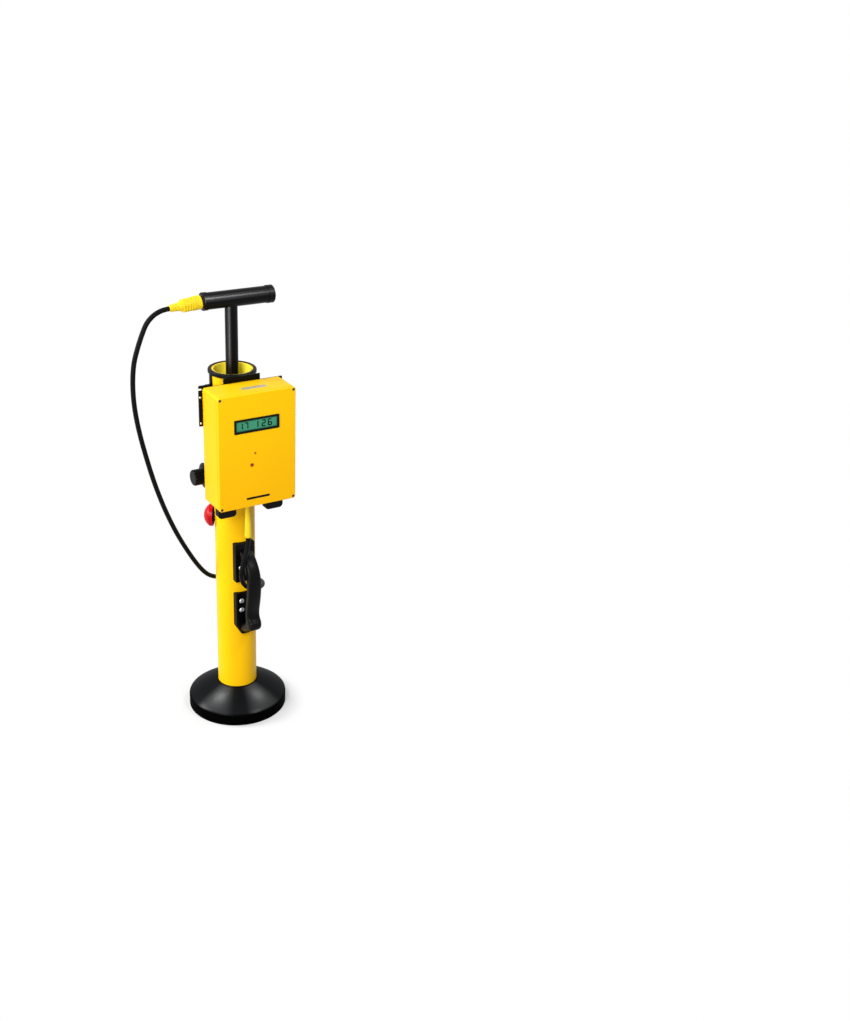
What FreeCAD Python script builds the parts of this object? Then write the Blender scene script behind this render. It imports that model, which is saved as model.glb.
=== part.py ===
import FreeCAD, Part
import math
import os
import Sketcher

# Soil impact tester: a drop hammer in a guide tube on a round foot, with a readout box on the tube.
# Lengths are in millimetres. The origin is on the ground in the middle of the foot.
# +Z is up along the tube, +X runs along the T-handle, and the readout box faces -Y.

doc = FreeCAD.newDocument("soil_impact_tester")
sheet = doc.addObject("Spreadsheet::Sheet", "Sheet")

# Driving dimensions: alias, value, meaning
DRIVING = [
    ("running_gap", 0.3, "gap between curved faces that pass or slide on each other"),
    ("fit_gap", 0.05, "radial clearance of a shank, spigot or shaft in its own hole"),
    ("tube_radius", 30.15, "outside radius of the guide tube, two inch pipe"),
    ("tube_wall", 3.0, "wall of the guide tube"),
    ("mouth_rise", 8.0, "height of the tube's upper end above the readout box"),
    ("foot_radius", 76.2, "outside radius of the foot"),
    ("foot_rim", 18.4, "height of the foot's outer rim"),
    ("foot_rim_round", 3.5, "rounding of the rim's upper edge"),
    ("foot_shoulder", 6.0, "height of the shoulder that the tube stands on"),
    ("collar_radius", 32.6, "radius of the foot's collar round the tube"),
    ("collar_foot", 42.3, "height where the cone meets the collar"),
    ("collar_top", 43.5, "height of the collar's upper edge"),
    ("cone_bulge", 160.0, "radius of the slightly rounded cone of the foot"),
    ("foot_relief", 1.5, "depth of the ring groove under the foot"),
    ("trim_radius", 35.1, "outside radius of the trim ring on the tube's mouth"),
    ("trim_proud", 1.0, "height of the trim ring above the tube's end"),
    ("trim_depth", 6.0, "height of the trim ring"),
    ("trim_round", 2.0, "rounding of the trim ring's outer edges"),
    ("hammer_radius", 25.0, "radius of the drop hammer"),
    ("hammer_length", 134.0, "length of the drop hammer"),
    ("hammer_bottom", 0.5, "height of the hammer's striking face at rest"),
    ("hammer_chamfer", 2.0, "chamfer of the striking face's edge"),
    ("hammer_shoulder", 5.0, "chamfer of the hammer's top edge"),
    ("ring_width", 8.0, "width of a guide ring"),
    ("ring_seat", 1.5, "depth of a guide ring's groove"),
    ("ring_inset", 14.0, "distance of a guide ring from the hammer's end"),
    ("rod_radius", 9.15, "outside radius of the lifting rod"),
    ("rod_wall", 2.5, "wall of the lifting rod"),
    ("rod_grip", 26.0, "length of rod held in the hammer"),
    ("sensor_radius", 6.3, "radius of the acceleration sensor"),
    ("sensor_height", 11.0, "height of the acceleration sensor"),
    ("nut_radius", 15.0, "half the width across the corners of the rod's lock nut"),
    ("nut_height", 9.0, "height of the rod's lock nut"),
    ("handle_height", 663.6, "height of the T-handle's axis"),
    ("handle_radius", 12.1, "outside radius of the T-handle"),
    ("handle_wall", 2.5, "wall of the T-handle's tube"),
    ("handle_left", 42.6, "reach of the T-handle on the cable's side"),
    ("handle_right", 62.0, "reach of the T-handle's tube on the other side"),
    ("cap_length", 7.5, "length of the end cap's skirt"),
    ("cap_skin", 0.7, "thickness of the end cap's skirt"),
    ("lead_radius", 1.5, "radius of the sensor's lead inside the rod"),
    ("lead_bend", 11.0, "bend radius of the sensor's lead"),
    ("plug_droop", 5.3, "angle by which the cable pulls the plug down"),
    ("plug_radius", 9.9, "radius of the plug's coupling sleeve and body"),
    ("plug_sleeve_length", 13.0, "length of the plug's coupling sleeve"),
    ("plug_body_length", 14.8, "length of the plug's body"),
    ("plug_boot_length", 18.5, "length of the plug's bend relief"),
    ("cable_radius", 3.5, "radius of the signal cable"),
    ("boot_tip_radius", 4.7, "radius of the bend relief where the cable enters"),
    ("box_offset", 3.5, "distance of the readout box's middle to the left of the tube"),
    ("box_width", 120.0, "width of the readout box"),
    ("box_height", 171.5, "height of the readout box"),
    ("box_bottom", 381.0, "height of the readout box's underside"),
    ("box_back", 37.0, "distance of the box's back from the tube's axis"),
    ("box_depth", 52.0, "depth of the readout box"),
    ("box_wall", 2.6, "wall of the readout box"),
    ("box_corner", 3.5, "rounding of the readout box's corners"),
    ("lid_thickness", 5.0, "thickness of the readout box's lid"),
    ("gasket_thickness", 1.0, "thickness of the lid's seal"),
    ("lid_screw_inset", 3.6, "distance of a lid screw from the box's sides"),
    ("post_radius", 3.2, "radius of a lid screw's post"),
    ("lid_screw_radius", 1.3, "radius of a lid screw's shank"),
    ("lid_screw_head", 2.0, "radius of a lid screw's head"),
    ("display_width", 69.3, "width of the display's bezel"),
    ("display_height", 20.6, "height of the display's bezel"),
    ("display_rise", 39.5, "height of the display's middle above the box's middle"),
    ("display_shift", 1.2, "distance of the display's middle to the left of the box's middle"),
    ("bezel_frame", 2.6, "width of the display bezel's frame"),
    ("bezel_proud", 1.0, "height of the display's bezel on the lid"),
    ("glass_thickness", 1.2, "thickness of the display's window"),
    ("board_thickness", 1.6, "thickness of the circuit boards"),
    ("board_width", 98.0, "width of the main circuit board"),
    ("board_height", 138.0, "height of the main circuit board"),
    ("standoff_height", 9.0, "height of the main board's standoffs"),
    ("standoff_radius", 3.0, "radius of the main board's standoffs"),
    ("cell_radius", 7.2, "radius of a battery cell"),
    ("cell_length", 49.5, "length of a battery cell"),
    ("lamp_radius", 2.5, "radius of an indicator lamp"),
    ("lamp_proud", 1.6, "height of an indicator lamp on the lid"),
    ("guard_width", 28.6, "width of a guard lug under the box"),
    ("guard_depth", 11.0, "depth of a guard lug"),
    ("guard_drop", 22.5, "height of a guard lug"),
    ("guard_spread", 74.6, "distance between the guard lugs' middles"),
    ("guard_place", 60.0, "distance of the guard lugs from the tube's axis"),
    ("outlet_x", 5.0, "distance of the cable outlet to the left of the tube's axis"),
    ("outlet_y", 57.0, "distance of the cable outlet in front of the tube's axis"),
    ("outlet_radius", 6.0, "radius of the outlet's thread in the box's underside"),
    ("box_boot_length", 39.4, "length of the lower plug's bend relief"),
    ("box_plug_length", 20.8, "length of the lower plug's metal shell"),
    ("box_plug_radius", 4.4, "radius of the lower plug's metal shell"),
    ("plate_thickness", 2.5, "thickness of the bracket's plates"),
    ("bar_width", 56.5, "width of the bar that stands above the box's back edge"),
    ("bar_shift", 2.25, "distance of that bar's middle to the left of the tube's axis"),
    ("bar_height", 8.5, "height of that bar above the box"),
    ("wing_width", 129.4, "width of the bracket's wings behind the box"),
    ("wing_height", 57.5, "distance of the wings' lower edge below the box's top"),
    ("tab_rise", 2.5, "height of the left wing's tab above the box's top"),
    ("channel_low", 11.0, "height of the bracket channel's lower end above the box's underside"),
    ("channel_high", 12.5, "distance of the channel's upper end below the box's top"),
    ("cheek_gap", 38.0, "distance of the bracket's cheeks from the tube's axis"),
    ("shell_thickness", 3.0, "thickness of the clamp shell behind the tube"),
    ("shell_low", 4.0, "height of the clamp shell's lower end above the box's underside"),
    ("shell_high", 2.0, "height of the clamp shell's upper end above the box's top"),
    ("parting", 3.0, "distance of the clamp's parting plane behind the tube's axis"),
    ("clamp_screw_radius", 2.0, "radius of a clamp screw's shank"),
    ("knob_rise", 26.0, "height of the lock knob's axis above the box's underside"),
    ("knob_y", 12.0, "distance of the lock knob's axis in front of the tube's axis"),
    ("knob_radius", 11.8, "radius of the lock knob"),
    ("knob_flange", 19.3, "radius of the lock knob's flange"),
    ("knob_inner", 51.0, "distance of the knob's flange from the tube's axis"),
    ("knob_outer", 71.0, "distance of the knob's end from the tube's axis"),
    ("stud_radius", 3.0, "radius of the lock knob's threaded stud"),
    ("button_drop", 54.0, "distance of the push button's axis below the box's underside"),
    ("button_turn", 32.5, "angle by which the push button is turned from the left towards the back"),
    ("button_radius", 17.3, "radius of the push button's dome"),
    ("button_proud", 46.3, "distance of the dome's top from the tube's axis"),
    ("button_back", 31.9, "distance of the dome's open back from the tube's axis"),
    ("button_neck", 9.25, "radius of the black neck between the dome and the tube"),
    ("button_travel", 1.4, "travel of the push button"),
    ("carry_top", 296.4, "height of the carry handle's upper end"),
    ("carry_bottom", 140.4, "height of the carry handle's lower end"),
    ("carry_plate_width", 32.0, "width of the carry handle's foot plates"),
    ("carry_plate_face", 35.5, "distance of the foot plates' face from the tube's axis"),
    ("carry_plate_length", 64.7, "length of the upper foot plate"),
    ("carry_plate_gap", 19.7, "distance between the two foot plates"),
    ("carry_reach", 72.0, "distance of the grip's outer face from the tube's axis"),
    ("carry_grip_width", 21.0, "width of the carry handle's grip"),
    ("carry_screw_radius", 2.0, "radius of a carry handle screw's shank"),
    ("carry_screw_head", 3.9, "radius of a carry handle screw's head"),
    ("carry_screw_side", 7.2, "distance of the carry handle's screws from its middle"),
    ("power_lamp_left", 9.5, "distance of the power lamp to the left of the box's middle"),
    ("power_lamp_drop", 20.8, "distance of the power lamp below the box's middle"),
    ("battery_lamp_left", 4.2, "distance of the battery lamp to the left of the box's middle"),
    ("battery_lamp_drop", 3.5, "distance of the battery lamp below the box's middle"),
]


class Size:
    """A length that keeps the sheet formula it comes from."""

    def __init__(self, number, formula):
        self.number = float(number)
        self.formula = formula

    def __add__(self, other):
        other = size_of(other)
        return Size(self.number + other.number, f"({self.formula} + {other.formula})")

    def __radd__(self, other):
        return size_of(other) + self

    def __sub__(self, other):
        other = size_of(other)
        return Size(self.number - other.number, f"({self.formula} - {other.formula})")

    def __rsub__(self, other):
        return size_of(other) - self

    def __mul__(self, other):
        other = size_of(other)
        return Size(self.number * other.number, f"({self.formula} * {other.formula})")

    def __rmul__(self, other):
        return size_of(other) * self

    def __truediv__(self, other):
        other = size_of(other)
        return Size(self.number / other.number, f"({self.formula} / {other.formula})")

    def __neg__(self):
        return Size(-self.number, f"(0 - {self.formula})")


def root(size):
    """The square root of a size."""
    return Size(math.sqrt(size.number), f"sqrt({size.formula})")


def size_of(value):
    """The value itself if it is a Size, and otherwise a Size that is a plain number."""
    if isinstance(value, Size):
        return value
    return Size(value, f"{float(value):g}" if value >= 0 else f"(0 - {float(-value):g})")


class Dimensions:
    """The driving dimensions by name, each a Size that points at its sheet cell."""


dim = Dimensions()
for row, (alias, value, meaning) in enumerate(DRIVING, start=1):
    sheet.set(f"A{row}", meaning)
    sheet.set(f"B{row}", str(value))
    sheet.setAlias(f"B{row}", alias)
    setattr(dim, alias, Size(value, f"Sheet.{alias}"))
doc.recompute()

PIECES = []


def tie(target, path, size):
    """Binds one property of an object to the sheet."""
    target.setExpression(path, size_of(size).formula)


def place(piece, x=0, y=0, z=0):
    """Puts a piece's own origin at a point given by sizes."""
    for path, size in (("x", x), ("y", y), ("z", z)):
        tie(piece, f".Placement.Base.{path}", size)
    return piece


def new_body(name, at=(0, 0, 0)):
    """Starts a piece as a body with its own origin at a point."""
    body = doc.addObject("PartDesign::Body", name)
    body.Label = name
    PIECES.append(body)
    return place(body, *at)


def new_sketch(body, plane, lift=0):
    """A sketch on one of the body's origin planes, lifted off it along the plane's normal."""
    sketch = body.newObject("Sketcher::SketchObject", body.Name + "_sketch")
    base = [f for f in body.Origin.OriginFeatures if f.Role == plane + "_Plane"][0]
    sketch.AttachmentSupport = [(base, "")]
    sketch.MapMode = "FlatFace"
    tie(sketch, ".AttachmentOffset.Base.z", lift)
    return sketch


def pin_point(sketch, index, end, x, y):
    """Ties one point of the sketch's geometry to its two sizes."""
    for kind, axis, size in (("DistanceX", -2, size_of(x)), ("DistanceY", -1, size_of(y))):
        if size.formula == "0":
            sketch.addConstraint(Sketcher.Constraint("PointOnObject", index, end, axis))
            continue
        number = sketch.addConstraint(Sketcher.Constraint(kind, -1, 1, index, end, size.number))
        tie(sketch, f"Constraints[{number}]", size)


def arc_between(start, end, radius):
    """The shorter arc between two points, and whether it runs anticlockwise (radius above 0) or clockwise."""
    middle = (start + end) * 0.5
    half = (end - start).Length / 2
    side = FreeCAD.Vector(start.y - end.y, end.x - start.x, 0).normalize()
    rise = math.sqrt(radius * radius - half * half)
    centre = middle + side * (rise if radius > 0 else -rise)
    first, last = (start, end) if radius > 0 else (end, start)
    angles = [math.atan2(p.y - centre.y, p.x - centre.x) for p in (first, last)]
    circle = Part.Circle(centre, FreeCAD.Vector(0, 0, 1), abs(radius))
    return Part.ArcOfCircle(circle, angles[0], angles[1])


def draw_loop(sketch, corners):
    """A closed outline. A corner is (x, y), or (x, y, radius) where an arc arrives at it."""
    first = sketch.GeometryCount
    count = len(corners)
    points = [FreeCAD.Vector(size_of(c[0]).number, size_of(c[1]).number, 0) for c in corners]
    starts = []
    for i in range(count):
        after = corners[(i + 1) % count]
        start, end = points[i], points[(i + 1) % count]
        if len(after) == 2:
            sketch.addGeometry(Part.LineSegment(start, end))
            starts.append(1)
            continue
        radius = size_of(after[2])
        index = sketch.addGeometry(arc_between(start, end, radius.number))
        starts.append(1 if radius.number > 0 else 2)
        number = sketch.addConstraint(Sketcher.Constraint("Radius", index, abs(radius.number)))
        tie(sketch, f"Constraints[{number}]", radius if radius.number > 0 else -radius)
    for i in range(count):
        j = (i + 1) % count
        sketch.addConstraint(
            Sketcher.Constraint("Coincident", first + i, 3 - starts[i], first + j, starts[j])
        )
    for i, corner in enumerate(corners):
        pin_point(sketch, first + i, starts[i], corner[0], corner[1])
    return sketch


def draw_circle(sketch, x, y, radius):
    """A circle with its middle and its radius tied to the sheet."""
    radius = size_of(radius)
    centre = FreeCAD.Vector(size_of(x).number, size_of(y).number, 0)
    index = sketch.addGeometry(Part.Circle(centre, FreeCAD.Vector(0, 0, 1), radius.number))
    number = sketch.addConstraint(Sketcher.Constraint("Radius", index, radius.number))
    tie(sketch, f"Constraints[{number}]", radius)
    pin_point(sketch, index, 3, x, y)
    return sketch


def draw_rectangle(sketch, width, height, x=0, y=0):
    """A rectangle about a middle point."""
    x, y, a, b = size_of(x), size_of(y), size_of(width) / 2, size_of(height) / 2
    return draw_loop(sketch, [(x - a, y - b), (x + a, y - b), (x + a, y + b), (x - a, y + b)])


def feature(body, kind, sketch, length=None, reverse=False, through=False):
    """Adds a pad or pocket of the sketch to the body. A pad runs along the sketch's normal, a pocket against it."""
    made = body.newObject("PartDesign::" + kind, body.Name + "_" + kind.lower())
    made.Profile = sketch
    made.Reversed = reverse
    if through:
        made.Type = "ThroughAll"
    else:
        tie(made, "Length", length)
    body.Tip = made
    return made


def pad(body, sketch, length, reverse=False):
    return feature(body, "Pad", sketch, length, reverse)


def pocket(body, sketch, length=None, reverse=False):
    return feature(body, "Pocket", sketch, length, reverse, through=length is None)


def spin(body, sketch, axis, kind="Revolution"):
    """Turns a half section all the way round the sketch's horizontal (H) or vertical (V) axis."""
    made = body.newObject("PartDesign::" + kind, body.Name + "_" + kind.lower())
    made.Profile = sketch
    made.ReferenceAxis = (sketch, [axis + "_Axis"])
    made.Angle = 360.0
    body.Tip = made
    return made


def edges_where(shape, test):
    """The names of the shape's edges that pass a test on their middle, length box and curve."""
    return [f"Edge{i}" for i, edge in enumerate(shape.Edges, start=1) if test(edge)]


def dress(body, kind, size, test):
    """Rounds (Fillet) or bevels (Chamfer) the edges of the body that pass the test."""
    doc.recompute()
    base = body.Tip
    names = edges_where(base.Shape, test)
    made = body.newObject("PartDesign::" + kind, body.Name + "_" + kind.lower())
    made.Base = (base, names)
    tie(made, "Radius" if kind == "Fillet" else "Size", size)
    body.Tip = made
    return made


def near(a, b):
    return abs(a - size_of(b).number) < 0.02


def along(edge, axis):
    """Whether an edge is straight and parallel to an axis."""
    box = edge.BoundBox
    spans = {"X": box.XLength, "Y": box.YLength, "Z": box.ZLength}
    others = [spans[k] for k in spans if k != axis]
    return spans[axis] > 0.01 and max(others) < 1e-4


def at_x(edge, x):
    return edge.BoundBox.XLength < 1e-4 and near(edge.BoundBox.XMin, x)


def at_y(edge, y):
    return edge.BoundBox.YLength < 1e-4 and near(edge.BoundBox.YMin, y)


def at_z(edge, z):
    return edge.BoundBox.ZLength < 1e-4 and near(edge.BoundBox.ZMin, z)


def turned(name, corners, axis="Z", at=(0, 0, 0)):
    """A turned piece: its half section as (radius, height) for Z, (x, radius) for X or (radius, y) for Y."""
    body = new_body(name, at)
    sketch = new_sketch(body, "XY" if axis == "Y" else "XZ")
    draw_loop(sketch, corners)
    spin(body, sketch, "H" if axis == "X" else "V")
    return body


def turn_piece(piece, axis, angle):
    """Turns a piece about an axis through its own origin by an angle from the sheet."""
    piece.Placement = FreeCAD.Placement(piece.Placement.Base, FreeCAD.Rotation(axis, 1))
    tie(piece, ".Placement.Rotation.Angle", angle)


def ring_edge(edge, radius, height):
    """Whether an edge is the circle of that radius at that height on a piece turned about Z."""
    box = edge.BoundBox
    return at_z(edge, height) and near(box.XMax, radius)


# Shared places
tube_inner = dim.tube_radius - dim.tube_wall
box_front = dim.box_back + dim.box_depth
box_seam = box_front - dim.lid_thickness
body_front = box_seam - dim.gasket_thickness
box_middle = dim.box_bottom + dim.box_height / 2
box_top = dim.box_bottom + dim.box_height
tube_top = box_top + dim.mouth_rise
trim_top = tube_top + dim.trim_proud
wing_bottom = box_top - dim.wing_height
channel_bottom = dim.box_bottom + dim.channel_low
channel_top = box_top - dim.channel_high
shell_bottom = dim.box_bottom + dim.shell_low
shell_top = box_top + dim.shell_high
knob_height = dim.box_bottom + dim.knob_rise
button_height = dim.box_bottom - dim.button_drop
hammer_top = dim.hammer_bottom + dim.hammer_length


# Outline of the carry handle's bow as drawn: distance from the tube's axis, distance below the handle's top,
# and the radius of the arc that arrives there
BOW_REACH = 72.0
BOW_HEIGHT = 156.0
BOW_OUTLINE = [
    (34.5, 9.0), (40.0, 11.4), (54.5, 21.0, 60.0), (72.0, 55.0, 37.0), (64.5, 103.0, 150.0),
    (64.6, 114.5, -24.0), (70.5, 119.5), (73.0, 127.0, 6.0), (67.0, 135.0), (50.0, 144.0), (44.5, 148.5),
    (34.5, 149.0), (34.5, 134.0), (42.0, 132.0), (51.5, 117.0, 18.0), (51.0, 103.0), (58.0, 57.0, -135.0),
    (47.0, 32.5, -24.0), (34.5, 25.5),
]

# Points of the signal cable between the lower plug and the upper plug
CABLE_ROUTE = [
    (-5.0, -57.0, 307.5), (-7.8, -57.5, 295.0), (-12.6, -58.5, 282.5), (-15.8, -58.4, 270.0),
    (-16.9, -56.6, 257.5), (-15.0, -53.5, 245.6), (-9.8, -50.3, 235.1), (-1.3, -47.2, 226.4),
    (9.7, -43.7, 220.6), (21.0, -37.4, 216.5), (30.3, -28.6, 213.0), (37.8, -17.6, 210.0),
    (41.7, -4.8, 207.5), (41.1, 8.7, 205.0), (36.2, 21.3, 203.0), (27.7, 31.6, 201.8),
    (16.3, 38.7, 201.8), (3.2, 41.9, 203.0), (-10.2, 40.8, 206.2), (-22.8, 36.4, 212.3),
    (-36.0, 30.8, 223.0), (-51.0, 26.2, 243.0), (-68.0, 22.5, 272.0), (-87.0, 18.0, 309.0),
    (-106.0, 12.5, 354.0), (-121.5, 8.5, 400.0), (-134.0, 4.5, 446.0), (-144.0, 1.5, 489.0),
    (-149.5, 0.5, 528.0), (-150.0, 0.0, 562.0), (-147.0, 0.0, 588.0), (-141.5, 0.0, 606.0),
    (-135.8, 0.0, 621.3), (-130.7, 0.0, 633.2), (-127.0, 0.0, 640.6), (-121.9, 0.0, 647.0),
    (-115.7, 0.0, 652.3), (-108.5, 0.0, 656.2),
]

# Sizes shared by several pieces
socket_flange = 4.0
sensor_neck = 4.0
boot_root = 4.0
boot_tip = 5.2
lead_seat = 20.0
last_run = 8.2
screw_sink = 1.5
glass_recess = 0.6
lid_screw_reach = 14.0
dome_shoulder = dim.button_back + 5.0
dome_rise = dim.button_proud - dome_shoulder
dome_radius = (dome_rise * dome_rise + dim.button_radius * dim.button_radius) / (dome_rise * 2)
switch_top = -dim.tube_radius - 8.0
collar_lip = 1.5
rod_inner = dim.rod_radius - dim.rod_wall
rod_head = dim.handle_height - 5
window_width = dim.display_width - 2.4
window_height = dim.display_height - 2.4
socket_face = -dim.handle_left - collar_lip - 1.0
plug_start = socket_face - dim.running_gap - dim.plug_radius * 0.1
tip_side = dim.knob_y - (dim.stud_radius - 1)
stud_tip = -root(dim.tube_radius * dim.tube_radius - tip_side * tip_side) - dim.running_gap
lamp_places = [
    (-dim.power_lamp_left, -dim.power_lamp_drop, dim.lamp_radius),
    (-dim.battery_lamp_left, -dim.battery_lamp_drop, dim.lamp_radius * 0.6),
]
bracket_holes = [(-46, 44), (46, 44), (-28, -51), (28, -51)]
clamp_x = dim.cheek_gap - 0.8
clamp_holes = [(clamp_x * side, z) for side in (-1, 1)
               for z in (channel_bottom + 14, channel_top - 14)]
carry_middle = dim.carry_top - 76.1
carry_holes = [(dim.carry_screw_side * side, carry_middle + up)
               for side in (-1, 1) for up in (-36.5, -21, 21.5, 36)]


def build_foot_and_tube():
    """The round foot, the guide tube that stands in it and the trim ring on the tube's mouth."""
    bore = tube_inner + dim.running_gap
    seat = dim.tube_radius + dim.fit_gap
    foot = turned("foot_flange", [
        (bore, 0),
        (dim.foot_radius, 0),
        (dim.foot_radius, dim.foot_rim),
        (dim.collar_radius, dim.collar_foot, dim.cone_bulge),
        (dim.collar_radius, dim.collar_top),
        (seat, dim.collar_top),
        (seat, dim.foot_shoulder),
        (bore, dim.foot_shoulder),
    ])
    groove = new_sketch(foot, "XZ")
    inner, outer = dim.collar_radius + 6, dim.foot_radius - 14
    draw_loop(groove, [(inner, 0), (outer, 0), (outer - 2, dim.foot_relief), (inner + 2, dim.foot_relief)])
    spin(foot, groove, "V", "Groove")
    dress(foot, "Fillet", dim.foot_rim_round, lambda e: ring_edge(e, dim.foot_radius, dim.foot_rim))
    dress(foot, "Chamfer", 1.0, lambda e: ring_edge(e, dim.foot_radius, 0))

    turned("guide_tube", [
        (tube_inner, dim.foot_shoulder),
        (dim.tube_radius, dim.foot_shoulder),
        (dim.tube_radius, tube_top),
        (tube_inner, tube_top),
    ])

    trim_bottom = trim_top - dim.trim_depth
    trim = turned("rim_trim", [
        (seat, trim_bottom),
        (dim.trim_radius, trim_bottom),
        (dim.trim_radius, trim_top),
        (seat, trim_top),
    ])
    dress(trim, "Fillet", dim.trim_round, lambda e: ring_edge(e, dim.trim_radius, trim_top))
    dress(trim, "Chamfer", 1.0, lambda e: ring_edge(e, dim.trim_radius, trim_bottom))


def build_hammer():
    """The drop hammer with its guide rings, its sensor, the rod's lock nut and the hollow lifting rod."""
    low, high = dim.hammer_bottom, hammer_top
    outer, seat = dim.hammer_radius, dim.hammer_radius - dim.ring_seat
    ring_low, ring_high = low + dim.ring_inset, high - dim.ring_inset
    rod_bore = dim.rod_radius + dim.fit_gap
    sensor_bore = dim.sensor_radius + dim.fit_gap
    rod_foot = high - dim.rod_grip
    sensor_foot = rod_foot - dim.sensor_height
    weight = turned("hammer_weight", [
        (0, low), (outer, low),
        (outer, ring_low), (seat, ring_low),
        (seat, ring_low + dim.ring_width), (outer, ring_low + dim.ring_width),
        (outer, ring_high - dim.ring_width), (seat, ring_high - dim.ring_width),
        (seat, ring_high), (outer, ring_high),
        (outer, high), (rod_bore, high),
        (rod_bore, rod_foot), (sensor_bore, rod_foot),
        (sensor_bore, sensor_foot), (0, sensor_foot),
    ])
    dress(weight, "Chamfer", dim.hammer_chamfer, lambda e: ring_edge(e, outer, low))
    dress(weight, "Chamfer", dim.hammer_shoulder, lambda e: ring_edge(e, outer, high))

    rings = new_body("guide_rings")
    sketch = new_sketch(rings, "XZ")
    inner, reach = seat + dim.fit_gap, tube_inner - dim.running_gap
    for start in (ring_low, ring_high - dim.ring_width):
        bottom, top = start + dim.fit_gap, start + dim.ring_width - dim.fit_gap
        draw_loop(sketch, [(inner, bottom), (reach, bottom), (reach, top), (inner, top)])
    spin(rings, sketch, "V")

    neck = 2.5
    turned("acceleration_sensor", [
        (0, sensor_foot), (dim.sensor_radius, sensor_foot),
        (dim.sensor_radius, rod_foot - 2), (dim.sensor_radius - 1.2, rod_foot),
        (neck, rod_foot), (neck, rod_foot + sensor_neck), (0, rod_foot + sensor_neck),
    ])

    turned("hammer_rod", [
        (rod_inner, rod_foot), (dim.rod_radius, rod_foot),
        (dim.rod_radius, rod_head), (rod_inner, rod_head),
    ])

    nut = new_body("rod_lock_nut", (0, 0, high))
    sketch = new_sketch(nut, "XY")
    wide, half = dim.nut_radius, dim.nut_radius / 2
    flat = dim.nut_radius * round(math.sqrt(3) / 2, 4)
    draw_loop(sketch, [(wide, 0), (half, flat), (-half, flat), (-wide, 0), (-half, -flat), (half, -flat)])
    draw_circle(sketch, 0, 0, rod_bore)
    pad(nut, sketch, dim.nut_height)
    bevel = new_sketch(nut, "XZ")
    low_cut = dim.nut_height - dim.nut_radius * 0.12
    draw_loop(bevel, [(flat - 0.4, dim.nut_height), (wide + 1, dim.nut_height), (wide + 1, low_cut - 0.6)])
    spin(nut, bevel, "V", "Groove")


def build_handle():
    """The T-handle with the end cap, the collar and socket for the cable, and the plug in the socket."""
    left, right = dim.handle_left, dim.handle_right
    inner = dim.handle_radius - dim.handle_wall
    over = dim.handle_radius + dim.fit_gap
    skin = over + dim.cap_skin
    tube = new_body("handle_tube", (-left, 0, dim.handle_height))
    sketch = new_sketch(tube, "YZ")
    draw_circle(sketch, 0, 0, dim.handle_radius)
    draw_circle(sketch, 0, 0, inner)
    pad(tube, sketch, left + right)
    hole = new_sketch(tube, "XY")
    draw_circle(hole, left, 0, dim.rod_radius + dim.fit_gap)
    pocket(tube, hole, dim.handle_radius + 1)

    axis_at = (0, 0, dim.handle_height)
    cap_face = right + 2.2
    cap = turned("handle_end_cap", [
        (right - dim.cap_length, over), (right - dim.cap_length, skin),
        (cap_face, skin), (cap_face, 0),
        (right - 12, 0), (right - 12, inner - dim.fit_gap),
        (right, inner - dim.fit_gap), (right, over),
    ], "X", axis_at)
    dress(cap, "Chamfer", 0.9, lambda e: at_x(e, cap_face))

    lip = -left - collar_lip
    collar = turned("handle_collar", [
        (-left + 5, over), (-left, over), (-left, inner), (lip, inner), (lip, skin), (-left + 5, skin),
    ], "X", axis_at)
    dress(collar, "Chamfer", 0.5, lambda e: at_x(e, lip) and near(e.BoundBox.YMax, skin))

    socket_bore = 6.0
    turned("handle_socket", [
        (socket_face, socket_bore), (socket_face, inner - 1), (lip, inner - 1),
        (lip, inner - dim.fit_gap), (-left + lead_seat, inner - dim.fit_gap), (-left + lead_seat, 0),
        (-left + 12, 0), (-left + 12, socket_bore),
    ], "X", axis_at)

    plug_at = (plug_start, 0, dim.handle_height)
    sleeve_end = -dim.plug_sleeve_length
    body_end = sleeve_end - dim.plug_body_length
    boot_end = body_end - dim.plug_boot_length
    sleeve = turned("plug_sleeve", [
        (4, 0), (4, 4.5), (0, 4.5), (0, dim.plug_radius), (sleeve_end, dim.plug_radius), (sleeve_end, 0),
    ], "X", plug_at)
    dress(sleeve, "Chamfer", 0.7, lambda e: near(e.BoundBox.YMax, dim.plug_radius)
          and (at_x(e, 0) or at_x(e, sleeve_end)))
    wide = dim.plug_radius
    groove, groove_deep = 2.0, 0.7
    steps = [(sleeve_end, 0), (sleeve_end, wide)]
    for k in range(3):
        start = sleeve_end - 2.4 - k * 2 * groove
        steps += [(start, wide), (start, wide - groove_deep), (start - groove, wide - groove_deep),
                  (start - groove, wide)]
    steps += [(body_end, wide), (body_end, 0)]
    turned("plug_body", steps, "X", plug_at)
    boot_start = dim.plug_radius - 2.8
    turned("plug_boot", [
        (body_end, 0), (body_end, boot_start), (body_end - 3, boot_start),
        (body_end - 5, dim.boot_tip_radius + 1.0), (boot_end, dim.boot_tip_radius), (boot_end, 0),
    ], "X", plug_at)
    for piece in PIECES[-3:]:
        turn_piece(piece, FreeCAD.Vector(0, -1, 0), dim.plug_droop)


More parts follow.
